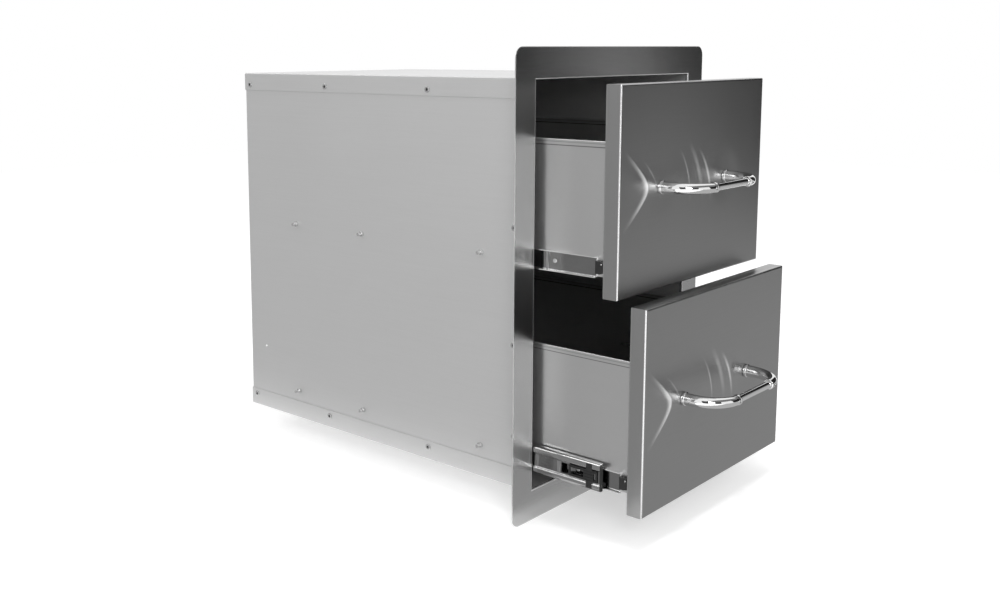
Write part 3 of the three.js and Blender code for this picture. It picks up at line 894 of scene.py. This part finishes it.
def makeSides():
    s = sideSheet
    sheet = addBlock("leftSidePanel", s["x"], s["y"], s["z"])
    reach = (s["x"][0] - past, s["x"][1] + past)
    for drawer in drawers:
        for place in slideScrew["places"]:
            start, end = ((at, place, drawer["slide"]) for at in reach)
            cutWith(sheet, addRound("hole", s["hole"], start, end, s["holeFacets"]))
    soften(sheet, s["soft"], 1)
    twin = copyPiece(sheet, "rightSidePanel", mirrored=True)
    complete(sheet, "cabinet", "box", "left_side_panel")
    complete(twin, "cabinet", "box", "right_side_panel")


slideScrew = {
    "places": (83.0, 305.0, 446.0), "from": 189.4, "nut": 4.1, "nutHigh": 3.4, "nutSides": 6,
    "nutSoft": 0.45, "end": 2.4, "endIn": 0.4, "endOut": 9.0, "endSoft": 0.5, "facets": 24
}

# the front row is given by depth and height, and sits on the side panel instead of the pans
popRivet = {
    "places": (548.8, 377.8, 176.8), "heights": (534.45, 36.95), "from": 190.5, "radius": 4.4,
    "height": 1.0, "dome": 0.75, "hole": 1.9, "holeDeep": 0.85, "holeRim": 0.3, "ring": 0.5,
    "facets": 28, "frontRow": ((29.5, 361.8), (29.2, 208.6), (27.6, 86.5)), "frontIn": 1.1
}

sideStud = {
    "from": 189.4, "place": (524.0, 120.5), "radius": 1.6, "height": 1.1, "dome": 0.8, "facets": 20
}


def makeSlideScrew():
    # a nut and the screw's end that stands out of it, on the left side panel
    s = slideScrew
    top, tip = -s["from"] - s["nutHigh"], -s["from"] - s["endOut"]
    nut = addRound("slideNut", s["nut"], (-s["from"], 0, 0), (top, 0, 0), s["nutSides"])
    soften(nut, s["nutSoft"], few)
    end = addRound("screwEnd", s["end"], (top + s["endIn"], 0, 0), (tip, 0, 0), s["facets"])
    bend(end, s["endSoft"], edgesAt(x=tip), 2)
    return joinPieces(nut, end)


def makePopRivet():
    # low dome with the hollow that its pin left
    r = popRivet
    top = -r["from"] - r["height"]
    head = addRound("popRivetHead", r["radius"], (-r["from"], 0, 0), (top, 0, 0), r["facets"])
    hollow(head, lambda at, way: way.x < -nearly, r["radius"] - r["hole"], x=r["holeDeep"])
    bend(head, r["dome"], lambda at, way: near(at.x, top)
         and math.hypot(at.y, at.z) > r["radius"] - r["ring"])
    bend(head, r["holeRim"], lambda at, way: near(at.x, top)
         and math.hypot(at.y, at.z) < r["hole"] + r["ring"], 2)
    return head


def makeSideStud():
    s = sideStud
    top = -s["from"] - s["height"]
    stud = addRound("sideStud", s["radius"], (-s["from"], 0, 0), (top, 0, 0), s["facets"])
    bend(stud, s["dome"], edgesAt(x=top))
    return stud


def placeFasteners():
    # each with its model, name, place, finish and CAD node
    screw, rivet, stud = makeSlideScrew(), makePopRivet(), makeSideStud()
    for side, mirrored in sides:
        inward = popRivet["frontIn"] * (-1 if mirrored else 1)
        placed = [(screw, f"{drawer['name']}{side.title()}SlideScrew{index}",
                   (0, place, drawer["slide"]), "screw",
                   [f"{drawer['name']}_{side}_slide_screw_{index}"])
                  for drawer in drawers for index, place in enumerate(slideScrew["places"], 1)]
        placed += [(rivet, f"{side}{level}PopRivet{index}", (0, place, height), "rivet", [])
                   for level, height in zip(("Top", "Bottom"), popRivet["heights"])
                   for index, place in enumerate(popRivet["places"], 1)]
        placed += [(rivet, f"{side}FrontPopRivet{index}", (inward, *place), "rivet", [])
                   for index, place in enumerate(popRivet["frontRow"], 1)]
        placed.append((stud, side + "SideStud", (0, *sideStud["place"]), "stud", []))
        for model, name, place, finish, nodes in placed:
            twin = copyPiece(model, name, place, mirrored)
            complete(twin, "cabinet", finish, *nodes)
    for model in (screw, rivet, stud):
        bpy.data.objects.remove(model)


front = {"half": 182.4, "height": 258.1, "thickness": 22, "sheet": 1.2, "return": 12,
         "fold": 2.6, "foldSteps": 5, "backFold": 1.5, "backSteps": few, "soft": 0.3}


def makeFront(drawer):
    # outer skin: a tray folded back on four sides, with narrow returns behind
    f = front
    y = (drawer["front"], drawer["front"] + f["thickness"])
    z = (drawer["bottom"], drawer["bottom"] + f["height"])
    skin = addBlock(drawer["name"] + "Front", both(f["half"]), y, z)
    pick(skin, "FACE", lambda at, way: way.y > roughly)
    insetPicked(f["return"])
    removePicked()
    close()
    bend(skin, f["fold"], edgesAt(y=y[0]), f["foldSteps"])
    upright, level = edgesAt(y=y[1], x=both(f["half"])), edgesAt(y=y[1], z=z)
    bend(skin, f["backFold"], lambda at, way: upright(at, way) or level(at, way), f["backSteps"])
    thicken(skin, f["sheet"])
    soften(skin, f["soft"])
    complete(skin, drawer["name"] + "_drawer", drawer["name"], drawer["name"] + "_front_panel")


liner = {
    "half": 179.4, "gap": 22.1, "sheet": 1, "inset": 3, "hole": 8, "holeFacets": 40, "soft": 0.2
}


def makeLiner(drawer):
    n = liner
    low = drawer["bottom"]
    y = (drawer["front"] + n["gap"], drawer["front"] + n["gap"] + n["sheet"])
    sheet = addBlock(drawer["name"] + "Liner", both(n["half"]), y,
                     (low + n["inset"], low + front["height"] - n["inset"]))
    height = low + front["height"] / 2
    for foot in handle["feet"]:
        start, end = ((foot, depth, height) for depth in (y[0] - past, y[1] + past))
        cutWith(sheet, addRound("hole", n["hole"], start, end, n["holeFacets"]))
    soften(sheet, n["soft"], 1)
    complete(sheet, drawer["name"] + "_drawer", "liner", drawer["name"] + "_front_liner")


tray = {
    "half": 174.5, "frontGap": 23.2, "depth": 500, "height": 166, "rise": 24, "sheet": 1,
    "hem": 7.2, "hemOut": 2.02, "hemFold": 0.96, "tab": 13, "tabFold": 1.0, "tabBelow": 2,
    "fold": 1.3, "soft": 0.15, "backHalf": 173.4, "backTab": 12, "backRise": 0.1
}


def cornerEdges(z, **levels):
    # a tray's upright edges, up to a little below its hem
    upright = edgesAt("z", **levels)
    return lambda at, way: upright(at, way) and z[0] < at.z < z[1] - tray["tabBelow"]


def makeTray(drawer):
    # floor and sides from one sheet, their tops rolled outward, and tabs turned in at the front
    t = tray
    start = drawer["front"] + t["frontGap"]
    y = (start + t["sheet"], start + t["depth"])
    z = (drawer["bottom"] + t["rise"] + t["sheet"], drawer["bottom"] + t["rise"] + t["height"])
    sheet = addSheet(drawer["name"] + "Tray", both(t["half"]), y, z, "-y", "+y", "+z")
    for side in (-1, 1):
        pullOut(sheet, "EDGE", edgesAt("y", x=side * t["half"], z=z[1]),
                (side * t["hemOut"], 0, 0), (0, 0, -t["hem"]))
    bend(sheet, t["hemFold"], edgesAt("y", z=z[1]))
    bend(sheet, t["fold"], edgesAt("y", z=z[0]))
    for side in (-1, 1):
        pullOut(sheet, "EDGE", cornerEdges(z, x=side * t["half"], y=y[0]), (-side * t["tab"], 0, 0))
    bend(sheet, t["tabFold"], cornerEdges(z, x=both(t["half"]), y=y[0]), few)
    thicken(sheet, t["sheet"], 1)
    soften(sheet, t["soft"], 1)
    complete(sheet, drawer["name"] + "_drawer", "tray", drawer["name"] + "_tray")


def makeTrayBack(drawer):
    t = tray
    y = drawer["front"] + t["frontGap"] + t["depth"] - t["sheet"]
    low = drawer["bottom"] + t["rise"]
    z = (low + t["sheet"] + t["backRise"], low + t["height"])
    sheet = addSheet(drawer["name"] + "TrayBack", both(t["backHalf"]),
                     (y - t["backTab"], y), z, "-y", "-z", "+z")
    pullOut(sheet, "EDGE", edgesAt("x", y=y, z=z[1]), (0, t["hemOut"], 0), (0, 0, -t["hem"]))
    bend(sheet, t["hemFold"], edgesAt("x", z=z[1]))
    bend(sheet, t["tabFold"], cornerEdges(z, y=y), few)
    thicken(sheet, t["sheet"], 1)
    soften(sheet, t["soft"], 1)
    complete(sheet, drawer["name"] + "_drawer", "tray", drawer["name"] + "_tray_back")


# The telescopic slides are made on the left and mirrored to the right
slide = {
    "face": -188.3, "outerFront": 24.5, "innerSetback": 33, "ribSlopes": (2, 0.9), "soft": 0.12
}

outerMember = {
    "half": 22.5, "depth": 11, "length": 500, "sheet": 1.2, "fold": 1.6, "curl": 1.5,
    "curlFold": 0.9, "hole": 2.3, "holeFacets": 16, "slot": (120, 142), "slotHalf": 2.4, "cutTo": 3
}

middleMember = {
    "half": 18.25, "railIn": 2.4, "depth": 10.4, "length": 480, "sheet": 1, "fold": 4.4,
    "foldSteps": 7, "webHalf": 8.5, "railEdge": 10.0, "railFold": 0.6, "recess": 1.8,
    "notch": (11, 20), "notchOut": (8.5, 15.6), "window": (24, 58), "windowHalf": 6.6, "cutPast": 2,
    "ribs": ((58.5, 65), (92.5, 97.5)), "ribHalf": 7.8, "ribRise": 1.0
}

innerMember = {
    "half": 13, "tipIn": 6.4, "depth": 12.7, "length": 480, "sheet": 1.2, "fold": 1.7, "soft": 0.15,
    "ribs": ((70.5, 76.5),), "ribHalf": 11, "ribRise": 1.1
}

slideRivet = {
    "places": (62.5, 250, 430), "radius": 3.0, "sunk": 0.3, "out": 1.4, "dome": 1.1, "facets": 24
}

endStop = {
    "capFront": -3, "capGap": 0.05, "plateFrom": 3.6, "length": 46, "railIn": 2.4, "plate": 1.5,
    "capDeep": 3.6, "plateHalf": 7.2, "capHalf": 15.9, "bumper": (11.2, 19.8),
    "windows": ((24, 43), (6.2, 9.4)), "windowHalf": 4.4, "grooves": (-5.6, -1.9, 1.9, 5.6),
    "grooveHalf": 0.55, "grooveIn": 0.7, "grooveShort": 2, "capRim": 0.8, "capHollow": 0.5,
    "soft": 0.22, "capSoft": 0.35
}

releaseLever = {
    "in": (7.4, 11.3), "y": (-10.4, 0.8), "half": 8.0, "neck": -5.4, "neckHalf": 6.4, "soft": 0.5,
    "pin": 1.1, "pinAt": (-8.0, 4.4), "pinIn": 1, "pinOut": 0.7, "pinSoft": 0.5, "pinFacets": 20
}


def slideX(inward):
    return slide["face"] + inward


def makeOuterMember():
    m = outerMember
    x, z = (slideX(0), slideX(m["depth"])), both(m["half"])
    sheet = addSheet("outerMember", x, (0, m["length"]), z, "-y", "+y", "+x")
    for up in (-1, 1):
        pullOut(sheet, "EDGE", edgesAt("y", x=x[1], z=up * m["half"]), (0, 0, -up * m["curl"]))
    bend(sheet, m["fold"], edgesAt("y", x=x[0]))
    bend(sheet, m["curlFold"], edgesAt("y", x=x[1], z=z), few)
    thicken(sheet, m["sheet"])
    reach = (slideX(-past), slideX(m["cutTo"]))
    for place in slideScrew["places"]:
        start, end = ((at, place - slide["outerFront"], 0) for at in reach)
        cutWith(sheet, addRound("hole", m["hole"], start, end, m["holeFacets"]))
    cutWith(sheet, addBlock("slot", reach, m["slot"], both(m["slotHalf"])))
    soften(sheet, slide["soft"], 1)
    return sheet


def raiseRibs(sheet, given, webIn):
    # stamped ribs across a web, each with a slope before and behind it
    before, behind = slide["ribSlopes"]
    for start, end in given["ribs"]:
        for at in (start, start + before, end - behind, end):
            cutAcross(sheet, (0, at, 0), (0, 1, 0))
        pick(sheet, "FACE", lambda at, way: near(at.x, slideX(webIn))
             and abs(at.z) < given["ribHalf"] and start + before < at.y < end - behind)
        shift(x=-given["ribRise"])
        close()


def makeMiddleMember():
    m = middleMember
    x, z = (slideX(m["railIn"]), slideX(m["depth"])), both(m["half"])
    webEdges = (-m["railEdge"], -m["webHalf"], m["webHalf"], m["railEdge"])
    sheet = addSheet("middleMember", x, (0, m["length"]), z, "-y", "+y", "+x")
    for level in webEdges:
        cutAcross(sheet, (0, 0, level), (0, 0, 1))
    pick(sheet, "FACE", lambda at, way: near(at.x, x[0]) and abs(at.z) < m["webHalf"])
    shift(x=m["recess"])
    close()
    bend(sheet, m["fold"], edgesAt("y", x=x[0], z=z), m["foldSteps"])
    bend(sheet, m["railFold"], edgesAt("y", z=webEdges), 2)
    raiseRibs(sheet, m, m["railIn"] + m["recess"])
    thicken(sheet, m["sheet"])
    reach = (slideX(m["railIn"] - m["cutPast"]),
             slideX(m["railIn"] + m["recess"] + m["cutPast"]))
    for up in (-1, 1):
        cutWith(sheet, addBlock("notch", reach, m["notch"],
                                sorted(up * part for part in m["notchOut"])))
    cutWith(sheet, addBlock("window", reach, m["window"], both(m["windowHalf"])))
    soften(sheet, slide["soft"], 1)
    return sheet


def makeInnerMember():
    m = innerMember
    x = (slideX(m["tipIn"]), slideX(m["depth"]))
    sheet = addSheet("innerMember", x, (0, m["length"]), both(m["half"]),
                     "-y", "+y", "-x")
    bend(sheet, m["fold"], edgesAt("y", x=x[1]))
    raiseRibs(sheet, m, m["depth"])
    thicken(sheet, m["sheet"])
    soften(sheet, m["soft"], 1)
    return sheet


def makeSlideRivets():
    # the heads that hold the inner member on the tray's side
    r = slideRivet
    webIn = innerMember["depth"] - innerMember["sheet"]
    inside, top = slideX(webIn + r["sunk"]), slideX(webIn - r["out"])
    heads = []
    for place in r["places"]:
        head = addRound("rivet", r["radius"], (inside, place, 0), (top, place, 0), r["facets"])
        bend(head, r["dome"], edgesAt(x=top))
        heads.append(head)
    return joinPieces(*heads)


def makeEndStop():
    # the plate clipped in the member's web, with its bumpers, and the cap before them
    s = endStop
    x = (slideX(s["railIn"]), slideX(s["railIn"] + s["plate"]))
    stop = addBlock("endStop", x, (s["plateFrom"], s["length"]), both(s["plateHalf"]))
    for at in s["bumper"]:
        cutAcross(stop, (0, at, 0), (0, 1, 0))
    for up in (-1, 1):
        pullOut(stop, "FACE", lambda at, way: way.z * up > nearly
                and s["bumper"][0] < at.y < s["bumper"][1],
                (0, 0, up * (s["capHalf"] - s["plateHalf"])))
    grooveLong = (s["plateFrom"] + s["grooveShort"], s["length"] - s["grooveShort"])
    for up in s["grooves"]:
        cutWith(stop, addBlock("groove", (x[0] - past, x[0] + s["grooveIn"]), grooveLong,
                               (up - s["grooveHalf"], up + s["grooveHalf"])))
    for window in s["windows"]:
        cutWith(stop, addBlock("window", (x[0] - past, x[1] + past), window,
                               both(s["windowHalf"])))
    endCap = addBlock("endCap", (x[0], slideX(s["railIn"] + s["capDeep"])),
                      (s["capFront"], -s["capGap"]), both(s["capHalf"]))
    hollow(endCap, facesFront, s["capRim"], y=s["capHollow"])
    soften(stop, s["soft"])
    soften(endCap, s["capSoft"], few)
    return joinPieces(stop, endCap)


def makeReleaseLever():
    # the plastic tongue in the front end of the inner member, with a pin through it
    r = releaseLever
    lever = addBlock("releaseLever", [slideX(part) for part in r["in"]], r["y"],
                     both(r["half"]))
    cutAcross(lever, (0, r["neck"], 0), (0, 1, 0))
    pick(lever, "FACE", facesFront)
    stretch(z=r["neckHalf"] / r["half"])
    close()
    soften(lever, r["soft"], few)
    inside, top = slideX(r["in"][0] + r["pinIn"]), slideX(r["in"][0] - r["pinOut"])
    pin = addRound("pin", r["pin"], (inside, *r["pinAt"]), (top, *r["pinAt"]), r["pinFacets"])
    bend(pin, r["pinSoft"], edgesAt(x=top), few)
    return lever, pin


cages = {
    "outer": {"webIn": 1.5, "ballIn": 6.5, "ballUp": 19.775, "ball": 2.75},
    "inner": {"webIn": 5.5, "ballIn": 8.4, "ballUp": 15.125, "ball": 3.95},
    "sheet": 0.6, "fold": 0.9, "armPast": 0.4, "count": 6, "pitch": 24, "end": 15, "length": 150,
    "ballFacets": (16, 10),
}


def makeCage(kind):
    # a strip bent to a U, with a row of balls along each arm
    c, shared = cages[kind], cages
    half = c["ballUp"] + shared["sheet"] / 2
    x = (slideX(c["webIn"]), slideX(c["ballIn"] + c["ball"] / 2 + shared["armPast"]))
    sheet = addSheet(kind + "Cage", x, (0, shared["length"]), both(half), "-y", "+y", "+x")
    bend(sheet, shared["fold"], edgesAt("y", x=x[0]), few)
    thicken(sheet, shared["sheet"])
    clearPick()
    around, upward = shared["ballFacets"]
    bpy.ops.mesh.primitive_uv_sphere_add(segments=around, ring_count=upward,
                                         radius=c["ball"] / 2 * mm)
    ball = bpy.context.object
    row = []
    for index in range(shared["count"]):
        y = shared["end"] + index * shared["pitch"]
        for up in (-1, 1):
            row.append(copyPiece(ball, "ball", (slideX(c["ballIn"]), y, up * c["ballUp"])))
    bpy.data.objects.remove(ball)
    return joinPieces(sheet, *row)


def placeSlides():
    # each with its model, body and finish. Those without a CAD node have no _ in their name
    lever, pin = makeReleaseLever()
    made = [
        ("outer_member", makeOuterMember(), "", "slide"),
        ("middle_member", makeMiddleMember(), "_runners", "middle"),
        ("inner_member", makeInnerMember(), "_drawer", "inner"),
        ("end_stop", makeEndStop(), "_runners", "plastic"),
        ("outer_cage", makeCage("outer"), "_outer_cages", "ball"),
        ("inner_cage", makeCage("inner"), "_inner_cages", "ball"),
        ("ReleaseLever", lever, "_drawer", "plastic"),
        ("LeverPin", pin, "_drawer", "screw"),
        ("SlideRivets", makeSlideRivets(), "_drawer", "screw"),
    ]
    for drawer in drawers:
        name = drawer["name"]
        starts = {"": slide["outerFront"], "_runners": drawer["middleFront"],
                  "_drawer": drawer["front"] + slide["innerSetback"]}
        for part, model, group, finish in made:
            ending = "".join(word[0].upper() + word[1:] for word in part.split("_"))
            y = starts.get(group)
            if y is None:
                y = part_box(f"{name}_left_{part}")[0][1] / mm
            for side, mirrored in sides:
                twin = copyPiece(model, name + side.title() + ending, (0, y, drawer["slide"]),
                                 mirrored)
                nodes = [f"{name}_{side}_{part}"] if "_" in part else []
                complete(twin, name + group if group else "cabinet", finish, *nodes)
    for part, model, *_ in made:
        bpy.data.objects.remove(model)


# A ring's ease is how far from its edge it has how much less than its full radius
handle = {
    "feet": (-89, 77), "reach": 52, "bendRadius": 39, "stub": 2, "footRadius": 7.8,
    "endRadius": 6.2, "footRing": 8.8, "footRingWide": 4,
    "footEase": ((0, 0.7), (0.25, 0.25), (0.8, 0)), "endRing": 6.9, "endRingWide": 3,
    "endEase": ((0, 0.7), (0.25, 0.2), (0.7, 0)), "runOut": 0.3, "rod": 4.7, "rodShort": 0.4,
    "rodSoft": 0.8, "socket": 5.0, "socketDeep": 7, "facets": 40, "bendSteps": 20, "gap": 0.1
}


def elbowStations():
    # distance along the elbow's centre line, and its radius there
    h = handle
    straight = h["reach"] - h["bendRadius"]
    arc = h["bendRadius"] * math.pi / 2
    total = straight + arc + h["stub"]

    def tube(along):
        return h["footRadius"] + (h["endRadius"] - h["footRadius"]) * along / total

    ring, wide, ease = h["footRing"], h["footRingWide"], h["footEase"]
    stations = [(along, ring - less) for along, less in ease]
    stations += [(wide - along, ring - less) for along, less in ease[1:]]
    stations += [(wide, tube(wide) + ease[1][1]), (wide + h["runOut"], tube(wide)),
                 (straight, tube(straight))]
    ring, start, ease = h["endRing"], total - h["endRingWide"], h["endEase"]
    for step in range(1, h["bendSteps"]):
        along = straight + arc * step / h["bendSteps"]
        if along < start - 2 * h["runOut"]:
            stations.append((along, tube(along)))
    stations += [(start - h["runOut"], tube(start)), (start, tube(start) + ease[1][1]),
                 (straight + arc, ring)]
    stations += [(start + along, ring - less) for along, less in ease[1:]]
    stations += [(total - along, ring - less) for along, less in ease]
    return sorted(stations), straight, arc


def makeElbow():
    # swept from the foot: out along -Y, then round to +X. The foot's middle is at the origin
    h = handle
    stations, straight, arc = elbowStations()
    clearPick()
    bpy.ops.mesh.primitive_circle_add(vertices=h["facets"], radius=stations[0][1] * mm,
                                      fill_type="NGON", rotation=(math.pi / 2, 0, 0))
    tube = bpy.context.object
    tube.name = "elbow"
    settle(tube)
    editAll(tube, "FACE", "SELECT")
    centre = Vector((0, 0, 0))
    heading = Vector((0, -1, 0))
    pivot = Vector((h["bendRadius"], -straight, 0))
    for (along, radius), (nextAlong, nextRadius) in zip(stations, stations[1:]):
        step = nextAlong - along
        if straight - hair <= along < straight + arc - hair:
            extrude()
            angle = step / h["bendRadius"]
            turnPicked(angle, pivot)
            turn = Matrix.Rotation(angle, 3, "Z")
            centre = pivot + turn @ (centre - pivot)
            heading = turn @ heading
        else:
            extrude(*(heading * step))
            centre = centre + heading * step
        stretch(*[nextRadius / radius] * 3, about=centre)
    insetPicked(stations[-1][1] - h["socket"])
    extrude(*(-heading * h["socketDeep"]))
    close()
    tidyMesh(tube)
    return tube, centre


def turnPicked(angle, pivot):
    # with no window the operator turns the other way, so the angle is given reversed
    bpy.ops.transform.rotate(value=-angle, orient_axis="Z", center_override=pivot * mm)


grubScrew = {
    "from": 6.2, "radius": 2.1, "belowRing": 0.25, "long": 2.5, "wall": 0.65, "deep": 1.3,
    "rim": 0.3, "ring": 0.4, "facets": 24
}


def makeGrubScrew(end):
    # a socket screw sunk in the elbow just before its end ring
    g = grubScrew
    x = end.x - g["from"]
    top = end.y - handle["endRing"] + g["belowRing"]
    screw = addRound("grubScrew", g["radius"], (x, top + g["long"], 0), (x, top, 0), g["facets"])
    hollow(screw, facesFront, g["wall"], y=g["deep"])
    bend(screw, g["rim"], lambda at, way: near(at.y, top)
         and math.hypot(at.x - x, at.z) > g["radius"] - g["ring"], 2)
    return screw


def makeRod(start, end):
    h = handle
    over = h["socketDeep"] - h["rodShort"]
    rod = addRound("rod", h["rod"], (start - over, 0, 0), (end + over, 0, 0), h["facets"])
    bend(rod, h["rodSoft"], edgesAt(x=(start - over, end + over)), few)
    return rod


handleScrew = {
    "radius": 4.6, "from": 1.3, "height": 3.3, "dome": 1.6, "shank": 2.5, "shankLong": 14,
    "cross": (1.1, 5.2), "crossDeep": 1.4, "soft": 0.1, "facets": 28
}


def makeHandleScrew():
    # the screw behind a foot, its head inside the drawer front
    s = handleScrew
    top = s["from"] + s["height"]
    screw = addRound("handleScrew", s["radius"], (0, s["from"], 0), (0, top, 0), s["facets"])
    hollow(screw, facesFront, s["radius"] - s["shank"], y=-s["from"] - s["shankLong"])
    bend(screw, s["dome"], edgesAt(y=top))
    for wide, high in (s["cross"], s["cross"][::-1]):
        cutWith(screw, addBlock("slot", both(wide / 2), (top - s["crossDeep"], top + past),
                                both(high / 2)))
    soften(screw, s["soft"], 1)
    return screw


def placeHandles():
    # each with its model, name, place, finish and CAD node
    elbow, end = makeElbow()
    grub, screw = makeGrubScrew(end), makeHandleScrew()
    middle, reach = sum(handle["feet"]) / 2, handle["feet"][1] - handle["feet"][0]
    rod = makeRod(end.x - reach / 2, reach / 2 - end.x)
    for drawer in drawers:
        name, y = drawer["name"], drawer["front"] - handle["gap"]
        height = drawer["bottom"] + front["height"] / 2
        placed = []
        for (side, mirrored), foot in zip(sides, handle["feet"]):
            title, node = f"{name}Handle{side.title()}", f"{name}_handle_{side}"
            placed += [
                (elbow, title + "Elbow", (foot, y, height), mirrored, "chrome", [node + "_elbow"]),
                (grub, title + "GrubScrew", (foot, y, height), mirrored, "screw", []),
                (screw, title + "Screw", (foot, drawer["front"], height), mirrored, "screw",
                 [node + "_screw"]),
            ]
        placed.append((rod, name + "HandleRod", (middle, y - handle["reach"], height), False,
                       "chrome", [name + "_handle_rod"]))
        for model, title, place, mirrored, finish, nodes in placed:
            twin = copyPiece(model, title, place, mirrored)
            complete(twin, name + "_drawer", finish, *nodes)
    for model in (elbow, grub, screw, rod):
        bpy.data.objects.remove(model)


makeCamera()
makeWorld()
makeLights()
makeCards()
makeFloor()
print("stage: camera, light and floor are set")

finishes = mixFinishes()
print("stage: finishes are mixed")

makeFlange()
makeCap("top_panel", "topPanel", -1)
makeCap("bottom_panel", "bottomPanel", 1)
makeBack()
makeSides()
placeFasteners()
print("stage: the box and its flange are folded")

for drawer in drawers:
    makeFront(drawer)
    makeLiner(drawer)
    makeTray(drawer)
    makeTrayBack(drawer)
print("stage: the drawers are folded")

placeSlides()
print("stage: the slides are in")

placeHandles()
print("stage: the handles are on")

bpy.context.scene.view_settings.view_transform = "Standard"
clearPick()
